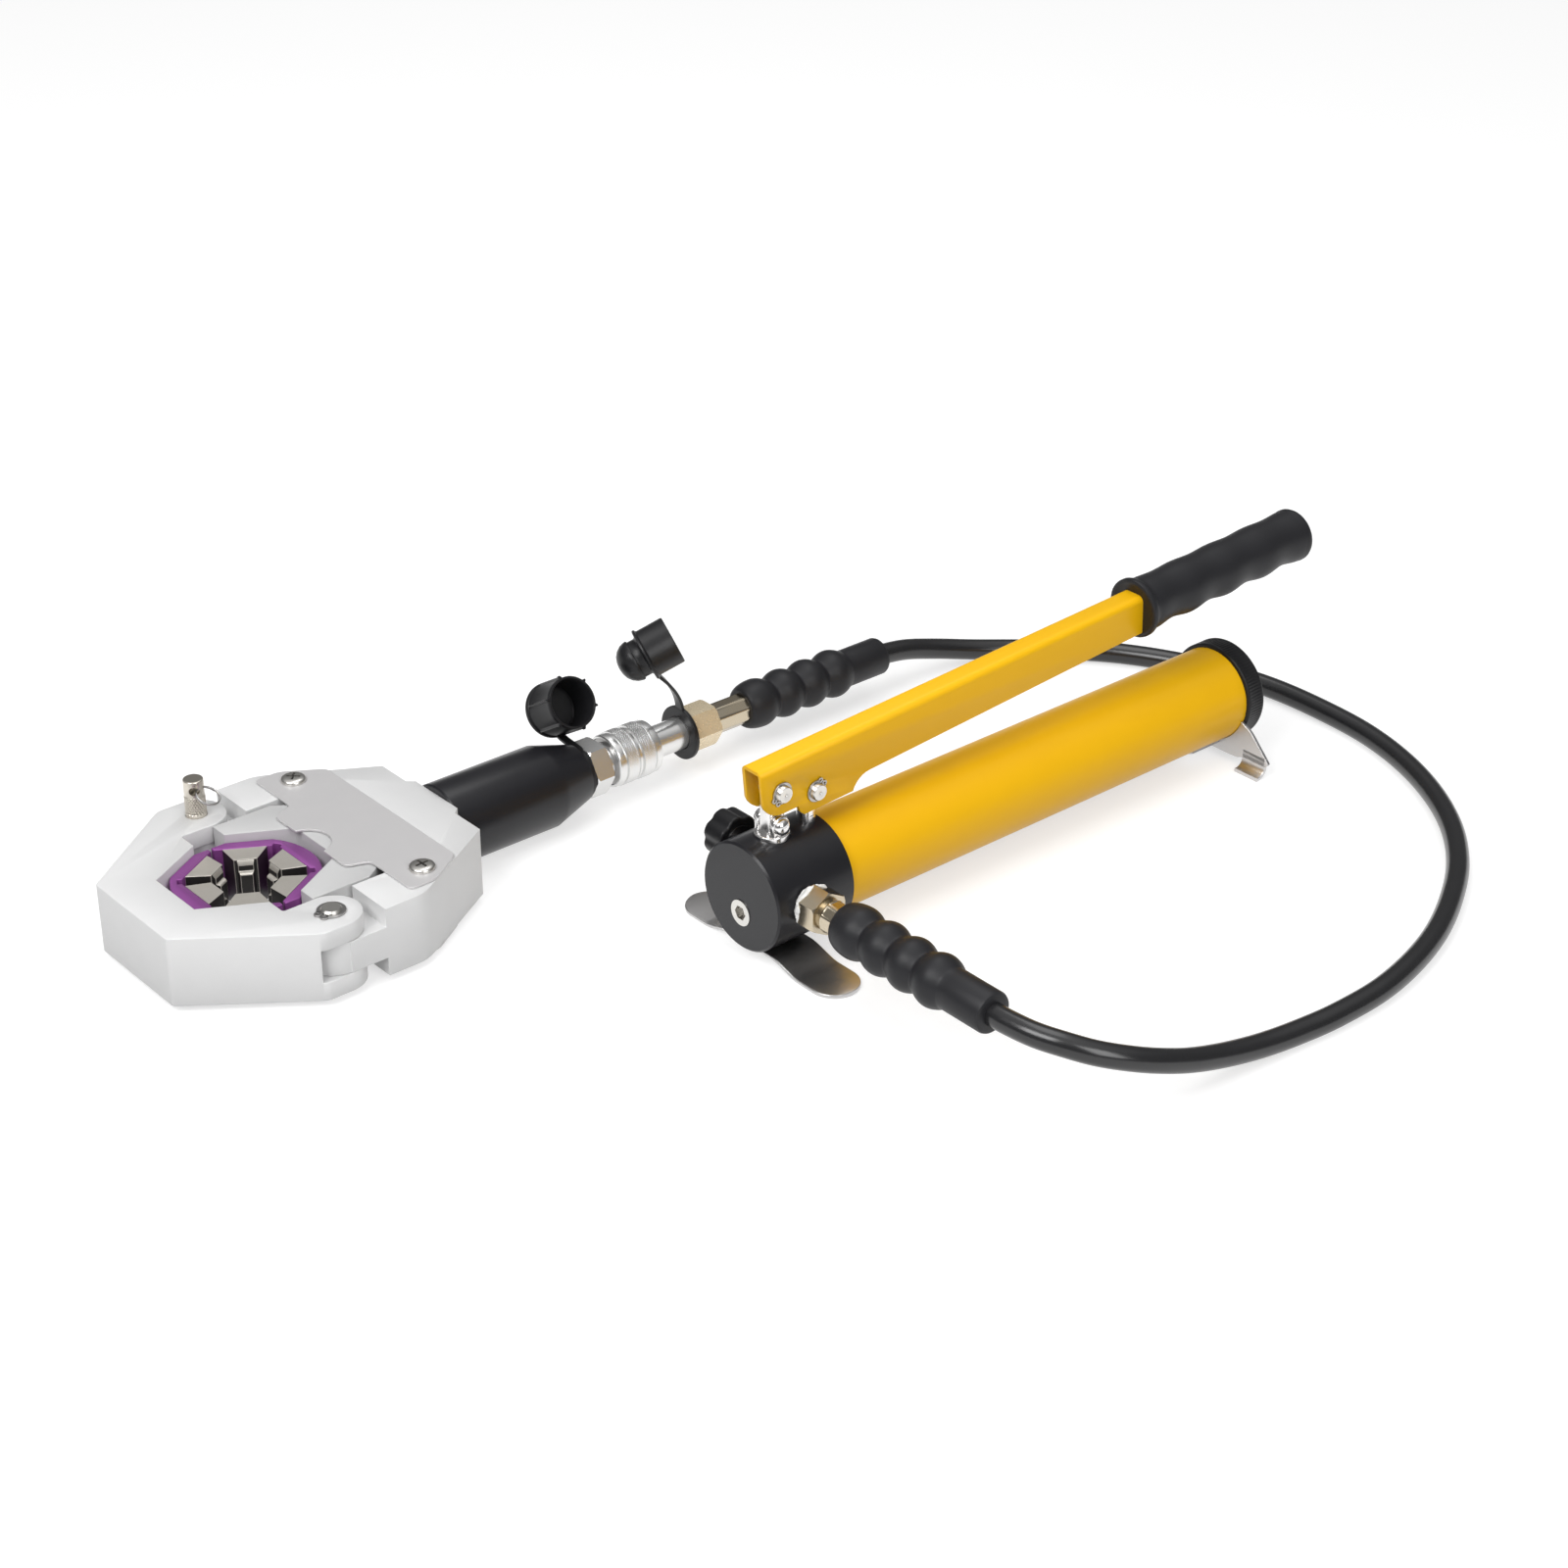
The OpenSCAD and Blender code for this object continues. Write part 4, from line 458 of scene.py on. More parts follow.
def make_material(name, color, roughness, grain, gloss, tint, metallic=0, specular=0.5, bump=0,
                  stretch=(1, 1, 1), patch=60):
    """Surface with a grain in gloss and height, and a slow drift of colour over patches."""
    material = bpy.data.materials.new(name)
    material.use_nodes = True
    bsdf = material.node_tree.nodes["Principled BSDF"]
    bsdf.inputs["Base Color"].default_value = (*color, 1)
    bsdf.inputs["Metallic"].default_value = metallic
    bsdf.inputs["Roughness"].default_value = roughness
    bsdf.inputs["Specular IOR Level"].default_value = specular
    height = noise(material, grain, stretch)
    ranged = node_of(material, "ShaderNodeMapRange")
    ranged.inputs["To Min"].default_value, ranged.inputs["To Max"].default_value = gloss
    link(material, height, ranged.inputs["Value"])
    link(material, ranged.outputs["Result"], bsdf.inputs["Roughness"])
    if bump:
        relief = node_of(material, "ShaderNodeBump")
        relief.inputs["Strength"].default_value = bump
        relief.inputs["Distance"].default_value = RELIEF
        link(material, height, relief.inputs["Height"])
        link(material, relief.outputs["Normal"], bsdf.inputs["Normal"])
    mix = node_of(material, "ShaderNodeMix", data_type="RGBA")
    mix.inputs[MIX_A].default_value = (*color, 1)
    mix.inputs[MIX_B].default_value = (*[c * t for c, t in zip(color, tint)], 1)
    link(material, noise(material, patch, detail=DRIFT_DETAIL), mix.inputs[MIX_FACTOR])
    link(material, mix.outputs[MIX_RESULT], bsdf.inputs["Base Color"])
    return material


LOOK = {key: make_material(**values) for key, values in MATERIALS.items()}


# Pump: stands, fulcrum, pins, knob and cap

def make_front_stand():
    half, span_half, thick, top, foot = 15.5, 70.0, 2.5, 6.25, 1.25
    bend_in, bend_out, edge = 17.0, 42.0, 1.1
    tip_sweep, tip_steps, side_steps = 88, 20, 60
    straight = span_half - half
    tip = [(straight + half * math.sin(a), half * math.cos(a)) for a in angles(tip_sweep, tip_steps)]
    side = [(i * straight / side_steps, half) for i in range(side_steps)] + tip
    rings = []
    for x, wide in [(-x, wide) for x, wide in reversed(side[1:])] + side:
        t = min(max((abs(x) - bend_in) / (bend_out - bend_in), 0), 1)
        z = top - (top - foot) * t * t * (3 - 2 * t)
        slope = -math.copysign((top - foot) * 6 * t * (1 - t) / (bend_out - bend_in), x)
        out = Vector((-slope, 0, 1)).normalized()
        rings.append([Vector((x, y, z)) + out * n for y, n in oblong(wide, thick / 2, edge, steps=4)])
    wing = skin("front_wing", rings, upright(Vector((PUMP.x, middle("front_stand").y, 0))))
    place_on(wing, LOOK["stand"], "base", "stand_steel", "front_stand")


def make_rear_stand():
    thick, tube_r, foot_in, foot_out, floor = 2.5, 30.1, 32.0, 51.0, -41.0
    bend, lip, tab_half, tab_l, hug = 6.75, 9.0, 22, 26.0, 17
    foot_rise, leg, corner, edge = 8, 14, 3.0, 0.5
    right = [(37, -13.1), (54, -30.5), (foot_out, floor + foot_rise), (foot_in, floor + foot_rise),
             (28, -35), (18, -35.4)]
    outline = arc(tube_r, hug - 180, -hug, steps=60) + right + [(-x, z) for x, z in reversed(right)]
    face = Vector((PUMP.x, high("rear_stand").y - thick * MM, PUMP.z))
    sheet = plate("saddle", [rounded(outline, corner, steps=4, closed=True)], thick, edge,
                  spot(face, -ALONG) @ shift(0, 0, -thick))
    turn = [(-bend * (1 - math.cos(a)), floor + thick / 2 + bend * (1 - math.sin(a)))
            for a in angles(90, steps=12)]
    path = [(0, floor + leg)] + turn + [(-lip + thick / 2, floor + thick / 2)]
    feet = []
    for sign in SIDES:
        place = upright(at(face, sign * (foot_in + foot_out) / 2, thick / 2, 0))
        feet.append(strip("foot", path, foot_out - foot_in, thick, place))
    first, last = -90 - tab_half, -90 + tab_half
    section = arc(tube_r, first, last, steps=16) + arc(tube_r + thick, last, first, steps=16)
    tab = skin("tab", [[(x, z, y) for x, z in section] for y in (0, tab_l / 2, tab_l)],
               spot(at(face, 0, thick / 2, 0), -ALONG))
    place_on(join("rear_saddle", [sheet, *feet, tab]), LOOK["stand"], "base", "stand_steel", "rear_stand")


def make_fulcrum():
    seat, rise, inner, thick, r = 33.5, 7.5, 4.9, 3.4, 6.2
    bore, flange_r, flange_low, flange_top, flange_edge = 3, 10.4, -5.5, 2.2, 1.0
    cheek_low, cheek_edge = 1.2, 0.9
    top = Vector((PUMP.x, middle("fulcrum_pin").y, PUMP.z + seat * MM))
    corners = [(bore, flange_low), (flange_r, flange_low), (flange_r, flange_top), (bore, flange_top)]
    flange = lathe("flange", rounded(corners, flange_edge), spot(top, UP, ALONG))
    cheek = [(r, cheek_low), *arc(r, 0, 180, steps=24, centre=(0, rise)), (-r, cheek_low)]
    cheeks = [plate("cheek", [cheek], thick, cheek_edge, spot(at(top, x, 0, 0), ACROSS))
              for x in (inner, -inner - thick)]
    place_on(join("fulcrum_clevis", [flange, *cheeks]), LOOK["chrome"], "base", "pin_chrome", "fulcrum_base")

    dome_r, dome_h, dome_base = 5.2, 3.5, 0.6
    dome = [(3.5, -0.5), (dome_r, -0.2)]
    dome += [(dome_r * math.cos(a), dome_base + dome_h * math.sin(a)) for a in angles(86, steps=12)]
    ends = [lathe("dome", dome, spot(at(top, sign * (inner + thick), 0, rise), sign * ACROSS))
            for sign in SIDES]
    place_on(join("fulcrum_rivet", ends), LOOK["chrome"], "base", "pin_chrome", "fulcrum_base_pin")

    post_half_w, post_half_d, post_edge, post_top, crown = 4.6, 6.2, 2.4, 32.5, 5.8
    section = oblong(post_half_w, post_half_d, post_edge, steps=8)
    rings = [[(x, y, z) for x, y in section] for z in (flange_top, 8, 16, 24, post_top)]
    for a in angles(84, steps=8)[1:]:
        rings.append([(x * math.cos(a), y * math.cos(a), post_top + crown * math.sin(a)) for x, y in section])
    place_on(skin("fulcrum_post", rings, upright(top)), LOOK["chrome"], "base", "pin_chrome", "fulcrum_link")


def ring_clip(name, place, r_in, r_out, lug_r, hole_r, thick=1.2):
    """Open retaining ring with two holed lugs, its mouth towards the place's X."""
    mouth, lug_turn, lug_share, edge, lug_edge = 22, 17, 0.98, 0.2, 0.15
    shell = [*arc(r_out, mouth, 360 - mouth, steps=48), *arc(r_in, 360 - mouth, mouth, steps=48)]
    pieces = [plate(name, [shell], thick, edge, place)]
    for sign in SIDES:
        a = math.radians(sign * lug_turn)
        centre = (r_out * lug_share * math.cos(a), r_out * lug_share * math.sin(a))
        lug = [circle(lug_r, sides=24, centre=centre), circle(hole_r, sides=12, centre=centre)]
        pieces.append(plate(name, lug, thick, lug_edge, place))
    return join(name, pieces)


def make_lever_pins():
    half, r, side = 12.5, 5.0, 8.35
    end = [(0.3, -0.7), (0.8, -0.1), (1.0, 0), (4.5, 0), (r, -0.6)]
    mouths = {"fulcrum_pin": 221, "plunger_pin": 45}
    clips = []
    for node, mouth in mouths.items():
        pin = bar(node + "_bar", half, end, spot(middle(node), ACROSS))
        place_on(pin, LOOK["screw"], "lever", "fastener_steel", node)
        for sign in SIDES:
            place = spot(at(middle(node), sign * side, 0, 0), sign * ACROSS, LEVER_UP)
            turn = turned(mouth if sign > 0 else 180 - mouth)
            clips.append(ring_clip("clip", place @ turn, r_in=4.4, r_out=6.7, lug_r=1.7, hole_r=0.7))
    place_on(join("lever_rings", clips), LOOK["spring"], "lever", "spring_steel", "lever_circlips")


def make_lever_grip():
    length, axis_w, start, r = 148.0, 6.85, 290.0, 17.0
    pitch, lead, ripples, step = 33.5, 9.0, 4, 1.5
    plain_r, deep, under_deep = 16, 0.55, 1.5
    last = lead + ripples * pitch

    def waves(angle, radius, z):
        if radius < plain_r or not lead < z < last:
            return 0
        under = 0.5 - 0.5 * math.sin(angle)
        return -(0.5 - 0.5 * math.cos(TURN * (z - lead) / pitch)) * (deep + under_deep * under)

    front = [(7.5, 0.5), (15.4, 0.5), (16.2, 0), (18.0, 0), (18.8, 0.5), (19.0, 1.3), (19.0, 3.2),
             (18.6, 4.2), (17.6, 5.2), (r, 6.6)]
    body = [(r, lead + i * step) for i in range(int((last - lead) / step) + 1)]
    back = [(17.3, length - 4), (17.2, length - 2.4), (16.4, length - 0.9), (15, length - 0.2), (13, length),
            (4, length)]
    grip = lathe("lever_sleeve", front + body + back, LEVER @ shift(0, axis_w, start), shape=waves)
    place_on(grip, LOOK["rubber"], "lever", "grip_rubber", "lever_grip")


def make_knob():
    r, length, recess, edge = 15.0, 16.0, 0.9, 1.8
    lobes, deep, plain_r, blend = 7, 1.35, 9, 5

    def scallops(angle, radius, z):
        share = min(max((radius - plain_r) / blend, 0), 1)
        return -share * deep * (0.5 + 0.5 * math.cos(lobes * angle)) ** 2

    corners = [(3, 1.0), (8.2, 1.0), (9.2, 0), (r, 0), (r, length), (10, length), (9, length - recess),
               (2, length - recess)]
    face = Vector((high("release_knob").x, middle("release_stem").y, middle("release_stem").z))
    knob = lathe("release_grip", rounded(corners, edge), spot(face, -ACROSS), segments=210, shape=scallops)
    place_on(knob, LOOK["plastic"], "release", "black_plastic", "release_knob")


def make_cap():
    length, r, ridges, deep, margin, rim = 13.9, 32.5, 100, 0.35, 2.1, 0.1

    def ridge(angle, radius, z):
        ridged = margin < z < length - margin and radius > r - rim
        return -deep * (0.5 + 0.5 * math.cos(ridges * angle)) if ridged else 0

    profile = [(22, 0), (31.6, 0), (32.2, 0.3), (r, 0.9), (r, 2), (r, 2.4), (r, length - 2.4),
               (r, length - 2), (r, length - 0.9), (32.2, length - 0.3), (31.4, length), (25.5, length),
               (24.9, length - 0.3), (24.7, length - 1.0), (24, length - 1.1), (2, length - 1.1)]
    face = Vector((PUMP.x, high("reservoir_cap").y - length * MM, PUMP.z))
    cap = lathe("filler_cap", profile, spot(face, ALONG), segments=500, shape=ridge)
    place_on(cap, LOOK["plastic"], "cap", "black_plastic", "reservoir_cap")


def make_tape():
    coarse, fine, fine_scale = 1.7, 0.9, 3.1
    round_scale, along_scale, tight_r, nut_l = 2.4, 0.5, 9, 14

    def ragged(angle, radius, z):
        if radius <= tight_r:
            return 0
        point = Vector((round_scale * math.cos(angle), round_scale * math.sin(angle), along_scale * z))
        return coarse * field.noise(point) + fine * field.noise(fine_scale * point)

    profile = [(8.3, -4.6), (11.0, -4.4), (12.0, -3.4), (12.5, -2.2), (12.9, -1.2), (13.0, -0.4), (12.6, 0.4),
               (11.6, 0.9), (9.5, 0.5), (8.3, 0.2)]
    nut = Vector((high("pump_fitting").x - nut_l * MM, middle("pump_grip").y, middle("pump_grip").z))
    tape = lathe("ragged_tape", profile, spot(nut, ACROSS), segments=120, shape=ragged)
    place_on(tape, LOOK["tape"], "base", "ptfe_tape", "thread_tape")


# Hose with its grips and crimped ferrules

def make_ferrule(name, node, along):
    r, flat, sides, margin, rim = 10.0, 9.35, 8, 1.5, 0.1
    start, length = span(node, along)

    def flats(angle, radius, z):
        if radius < r - rim or not margin < z < length - margin:
            return 0
        step = TURN / sides
        return flat / math.cos((angle + step / 2) % step - step / 2) - r

    profile = [(6, 0), (9.0, 0), (9.7, 0.4), (r, 1.0), (r, 1.4), (r, 2.0), (r, length - 2.0),
               (r, length - 1.4), (r, length - 0.8), (9.4, length - 0.1), (6, length)]
    piece = lathe(name, profile, spot(start, along), segments=160, shape=flats, smooth_angle=CRIMP_ANGLE)
    return place_on(piece, LOOK["zinc"], "base", "fitting_zinc", node)


def make_hose_grip(name, node, along):
    bore, nose_r, bulb_r, waist_r, tail_r = 6.5, 11.4, 16.0, 12.5, 12.5
    nose, first, pitch, bulbs, length = 3.0, 16.0, 21.2, 4, 122.0
    steps, softness, swell_low, swell_span = 112, 0.012, 0.11, 0.896
    last = first + (bulbs - 0.5) * pitch
    profile = [(bore, nose + 0.6), (nose_r - 1, nose + 0.2)]
    for a in angles(90, steps=24):
        profile.append((nose_r + (bulb_r - nose_r) * math.sin(a), first - (first - nose) * math.cos(a)))
    for i in range(1, steps + 1):
        u = first + (last - first) * i / steps
        swell = math.sqrt(math.cos(math.pi * (u - first) / pitch) ** 2 + softness)
        profile.append((waist_r + (bulb_r - waist_r) * (swell - swell_low) / swell_span, u))
    profile += [(tail_r, last + 4), (tail_r, length - 2), (tail_r - 0.6, length - 0.6), (tail_r - 2, length),
                (bore, length)]
    piece = lathe(name, profile, spot(span(node, along)[0], along), segments=72)
    return place_on(piece, LOOK["rubber"], "base", "hose_rubber", node)


HOSE_D = 14 * MM
HOSE_SEAT = 14 * MM
HOSE_STEPS = 8
HOSE_ROUTE = [
    (0.301, -0.0685, 0.0435), (0.318, -0.0655, 0.043), (0.333, -0.0585, 0.0415), (0.3455, -0.048, 0.038),
    (0.355, -0.034, 0.0335), (0.3615, -0.0165, 0.0275), (0.3655, 0.005, 0.0205), (0.368, 0.031, 0.014),
    (0.3705, 0.059, 0.0095), (0.373, 0.088, 0.0075), (0.375, 0.116, 0.0072), (0.374, 0.153, 0.0072),
    (0.367, 0.190, 0.0072), (0.355, 0.226, 0.0072), (0.337, 0.262, 0.0072), (0.314, 0.297, 0.0072),
    (0.285, 0.328, 0.0072), (0.251, 0.353, 0.0072), (0.213, 0.372, 0.0072), (0.172, 0.384, 0.0072),
    (0.130, 0.388, 0.0072), (0.089, 0.387, 0.0072), (0.051, 0.379, 0.0072), (0.015, 0.364, 0.0072),
    (-0.016, 0.345, 0.0072), (-0.042, 0.322, 0.0072), (-0.063, 0.297, 0.0075), (-0.078, 0.270, 0.0105),
    (-0.0865, 0.243, 0.0165), (-0.0895, 0.217, 0.023),
]


def make_hose():
    ends = [make_hose_grip("pump_hose_grip", "pump_grip", ACROSS),
            make_hose_grip("head_hose_grip", "head_grip", ALONG),
            make_ferrule("pump_crimp", "pump_ferrule", ACROSS),
            make_ferrule("head_crimp", "head_ferrule", ALONG)]
    pump_tail = Vector((high("pump_grip").x, middle("pump_grip").y, middle("pump_grip").z))
    head_tail = Vector((middle("head_grip").x, high("head_grip").y, middle("head_grip").z))
    path = smooth_path([pump_tail, *HOSE_ROUTE, head_tail], HOSE_STEPS)
    path = [pump_tail - ACROSS * HOSE_SEAT, *path, head_tail - ALONG * HOSE_SEAT]
    data = bpy.data.curves.new("hose_run", "CURVE")
    data.dimensions = "3D"
    spline = data.splines.new("POLY")
    spline.points.add(len(path) - 1)
    for point, place in zip(spline.points, path):
        point.co = (*place, 1)
    data.bevel_depth = HOSE_D / 2
    data.bevel_resolution = 8
    data.use_fill_caps = True
    hose = bpy.data.objects.new("hose_run", data)
    bpy.context.scene.collection.objects.link(hose)
    place_on(hose, LOOK["hose"], "base", "hose_rubber", "hose")


# Quick coupler and its dust caps

def diamond(angle, z, ridges, pitch, steepness=1.6):
    """Height of a diamond knurl, from 0 in its grooves to 1 on its points."""
    def rise(turns):
        return 1 - abs(2 * (turns % 1) - 1)
    a = ridges * angle / TURN
    return min(1, steepness * min(rise(a + z / pitch), rise(a - z / pitch)))


def make_sleeve():
    r, length, ridges, deep, step, rim = 17.75, 33.6, 72, 0.2, 0.2, 0.05
    room_r, neck_r, shoulder = 15.4, 12.8, 21.6
    bands = ((6.0, 14.0), (18.6, 27.0))
    pitch = TURN * r / ridges

    def knurl(angle, radius, z):
        inside = radius > r - rim and any(a < z < b for a, b in bands)
        return -deep * (1 - diamond(angle, z, ridges, pitch)) if inside else 0

    def rows(start, end):
        return [(r, start + step * i) for i in range(round((end - start) / step) + 1)]

    profile = [(room_r, 0), (16.2, 0), (16.9, 0.5), (17.2, 1.3), (17.2, 4.6), (16.6, 5.0), (16.6, 5.7),
               (17.4, 5.9)]
    profile += rows(*bands[0])
    profile += [(17.4, 14.1), (16.4, 14.6), (16.4, 15.4), (17.1, 15.7), (17.1, 17.0), (16.4, 17.4),
                (16.4, 18.1), (17.4, 18.5)]
    profile += rows(*bands[1])
    profile += [(17.4, 27.1), (16.6, 27.5), (16.6, 28.2), (17.3, 28.6), (17.3, 32.2), (17.0, 33.0),
                (16.2, length), (neck_r, length), (neck_r, shoulder), (room_r, shoulder)]
    place = spot(Vector((HEAD.x, low("coupler_sleeve").y, HEAD.z)), ALONG)
    sleeve = lathe("knurled_sleeve", profile, place, segments=432, shape=knurl, closed=True,
                   smooth_angle=KNURL_ANGLE)
    place_on(sleeve, LOOK["nickel"], "sleeve", "coupler_chrome", "coupler_sleeve")


def make_socket_cap():
    tilt = math.radians(32)
    axis = Vector((math.cos(tilt), 0, math.sin(tilt)))
    inward = Vector((-math.sin(tilt), 0, math.cos(tilt)))
    r, wall, length, back_r, back_t = 16.5, 1.7, 26.0, 17.5, 3.0
    ribs, rib_turn, rib_half, rib_h, lip_h, lip_l, rib_foot, rim = 6, 0.4, 0.06, 1.2, 0.5, 3, 0.8, 0.6
    ring_y, mid_y, cup_x, cup_z, strap_bite, strap_end = 224.5, 226.0, -25.4, 33.4, 1.2, 15.6
    back = at(HEAD, cup_x, mid_y, cup_z)

    def rib(angle, radius, z):
        if radius < r - rim or z < rib_foot:
            return 0
        off = (angle + rib_turn) % (TURN / ribs) - TURN / ribs / 2
        return (rib_h + lip_h * (z > length - lip_l)) * max(0, 1 - (off / rib_half) ** 2)

    hollow = r - wall
    inside = [(1, 0.5), (hollow - 1, 0.5), (hollow, 1.5), (hollow, length - 0.5), (hollow + 0.4, length)]
    outside = [(r - 0.4, length), (r, length - 0.5), (r, length - 2.9), (r, length - 3.1), (r, 1.2),
               (r + 0.2, 0.7), (back_r - 0.4, 0.3), (back_r, -0.3), (back_r, -back_t + 0.6),
               (back_r - 0.6, -back_t), (1, -back_t)]
    cup = lathe("cup", inside + outside, spot(back, axis, ALONG), segments=264, shape=rib)
    ring = flat_ring("ring", r_in=12.9, r_out=17.0, thick=3.0, place=spot(at(HEAD, 0, ring_y, 0), ALONG))
    foot = back - inward * (back_r - strap_bite) * MM - axis * back_t / 2 * MM
    path = bezier(foot, at(foot, 4, 0, -2.2), at(HEAD, -6, mid_y, 17.4), at(HEAD, 2, mid_y, strap_end))
    strap = band("strap", path, [ALONG] * len(path), width=5.5, thick=2.2)
    cap = join("socket_dust_cap", [cup, ring, strap])
    place_on(cap, LOOK["cap_rubber"], "socket_cap", "cap_rubber", "socket_cap")


def make_plug_cap():
    yaw, pitch = math.radians(-25.5), math.radians(25.3)
    axis = Vector((-math.sin(yaw) * math.cos(pitch), math.cos(yaw) * math.cos(pitch), math.sin(pitch)))
    down = Vector((-math.sin(yaw) * math.sin(pitch), math.cos(yaw) * math.sin(pitch), -math.cos(pitch)))
    flange_r, ring_y, mid_y, lean, rise = 17.0, 305.5, 307.0, 25.4, 63.7
    strap_bite, strap_end, strap_steps = 1.4, 15.6, 24
    centre = at(HEAD, 0, mid_y - lean, rise)
    profile = [(0.8, -19.6), (4, -19.2), (7.4, -18.0), (10.2, -15.8), (12.2, -12.9), (13.1, -10.2),
               (13.3, -8.6), (13.0, -8.0), (12.3, -7.7), (12.2, -7.0), (12.2, -3.2), (12.8, -2.4), (14, -2.1),
               (16.4, -2.1), (17, -1.6), (17, -0.5), (16.4, 0), (15.9, 0.2), (15.5, 0.8), (15.5, 17.6),
               (15.1, 18.4), (14.2, 18.4), (13.8, 17.8), (13.8, 3.0), (13.0, 2.2), (1, 2.0)]
    stopper = lathe("stopper", profile, spot(centre, axis))
    ring = flat_ring("ring", r_in=10.8, r_out=17.8, thick=3.0, place=spot(at(HEAD, 0, ring_y, 0), ALONG))
    top, foot = centre + down * (flange_r - strap_bite) * MM, at(HEAD, 0, mid_y, strap_end)
    pull = top + (down * 11 + axis * 3) * MM
    path = bezier(top - axis * MM, pull, at(foot, 1.5, -2, 13), foot, strap_steps)
    side = axis.cross(down)
    level_side = -ACROSS if side.dot(ACROSS) < 0 else ACROSS
    across = [side.lerp(level_side, i / strap_steps) for i in range(strap_steps + 1)]
    strap = band("strap", path, across, width=7.5, thick=2.0)
    cap = join("plug_dust_cap", [stopper, ring, strap])
    place_on(cap, LOOK["cap_rubber"], "plug_cap", "cap_rubber", "plug_cap")


# Crimping head: jaws, cover plates, screws, hinge and pull pin

def prism(name, profile, half, place, ground):
    """Wedge with a side profile of (radius, z) points and a half width for each radius.

    The sides that ground numbers are bright, the others take the dark steel of painted shade.
    """
    count = len(profile)
    verts = [place @ Vector((sign * half(r), r, z)) for sign in SIDES for r, z in profile]
    ends = [tuple(range(count)), tuple(range(count, 2 * count))]
    sides = [(i, (i + 1) % count, (i + 1) % count + count, i + count) for i in range(count)]
    # Faces outside the ground set get the painted shade material.
    piece = dress(add_mesh(name, verts, ends + sides), LOOK["jaw"], LOOK["painted_shade"])
    return paint(piece, lambda i: 0 if i - len(ends) in ground else 1)


def make_jaw(name, turn, centre):
    """One steel jaw: ground above and below, painted shade on its flanks and inner faces, a narrower stepped
    lip towards the middle.
    """
    half_h, back, face, step, lip, lip_h = 16.5, 32.4, 19.0, 17.4, 15.0, 9.0
    back_half, flare, lip_share, edge = 12.9, 0.46, 0.74, 0.35
    block_ground, tongue_ground = {0, 2}, {0, 1, 3, 4, 6, 7, 9, 10}
    place = Matrix.Translation(centre) @ turned(turn) @ Matrix.Scale(MM, 4)

    def half(r):
        return back_half - flare * (back - r)

    def lip_half(r):
        return lip_share * half(r)

    block = [(back, half_h), (face, half_h), (face, -half_h), (back, -half_h)]
    upper = [(face + 1, half_h - 0.3), (face - 0.2, half_h - 0.6), (step, half_h - 3.4), (step, lip_h + 0.6),
             (lip + 0.6, lip_h), (lip, lip_h - 0.8)]
    tongue = upper + [(r, -z) for r, z in reversed(upper)]
    jaw = join(name, [prism("block", block, half, place, block_ground),
                      prism("tongue", tongue, lip_half, place, tongue_ground)])
    round_edges(jaw, edge * MM).material = 0
    return jaw


def make_jaws():
    die_front = 11
    centre = Vector((HEAD.x, HEAD.y - die_front * MM, HEAD.z))
    for half, body, start in (("rear", "ram", 0), ("front", "yoke", 180)):
        for i, turn in enumerate((-60, 0, 60)):
            jaw = make_jaw(half + "_jaw_" + str(i + 1), start + turn, centre)
            nodes = (half + "_die_jaws",) if i == 0 else ()
            place_on(jaw, None, body, "jaw_steel", *nodes)


FACE_Z = 22


def make_cover_plates():
    thick, front, root, shoulder, rear, notch_y, notch_r = 1.5, 32.0, 46.0, 63.0, 87.5, 29.5, 15.0
    front_half, root_half, half, rear_half, corner, edge = 37.5, 42.0, 82.5, 67.0, 4.0, 0.3
    side = [(front_half, front), (root_half, root), (half, root), (half, shoulder), (rear_half, rear)]
    reach = math.degrees(math.asin((front - notch_y) / notch_r))
    notch = arc(notch_r, 180 - reach, reach, steps=30, centre=(0, notch_y))
    outline = side + [(-x, y) for x, y in reversed(side)] + notch
    sheets = [plate("sheet", [rounded(outline, corner, closed=True)], thick, edge,
                    spot(at(HEAD, 0, 0, sign * FACE_Z), sign * UP, ALONG)) for sign in SIDES]
    place_on(join("cover_sheets", sheets), LOOK["cover"], "base", "cover_steel", "cover_plates")


def make_cover_screws():
    screw_x, screw_y, screw_z, top, tool_turn = 67.5, 64.2, 23.5, 3, 24
    long, wide, deep, shade_t, shade_sink, edge = 4.3, 0.75, 1.1, 0.3, 0.2, 0.05
    pan = [(1, 0), (7.6, 0), (7.7, 0.2), (7.7, 1.2), (7.45, 1.8), (6.8, 2.35), (5.6, 2.75), (4, 2.95),
           (0.5, top)]
    cross = [(long, -wide), (long, wide), (wide, wide), (wide, long), (-wide, long), (-wide, wide),
             (-long, wide), (-long, -wide), (-wide, -wide), (-wide, -long), (wide, -long), (wide, -wide)]
    screws = []
    for x in (-screw_x, screw_x):
        for sign in SIDES:
            place = spot(at(HEAD, x, screw_y, sign * screw_z), sign * UP, ALONG)
            turn = place @ turned(tool_turn + x)
            tool = plate("tool", [cross], top, edge, turn @ shift(0, 0, top - deep))
            screws.append(dress(cut(lathe("screw", pan, place, segments=64), tool), LOOK["screw"]))
            # A thin dark sheet on the floor of each cross recess: painted shade in the recess.
            slot = plate("slot", [cross], shade_t, edge, turn @ shift(0, 0, top - shade_sink - deep))
            screws.append(dress(slot, LOOK["painted_shade"]))
    place_on(join("pan_screws", screws), None, "base", "fastener_steel", "cover_screws")


PIN_X = 72


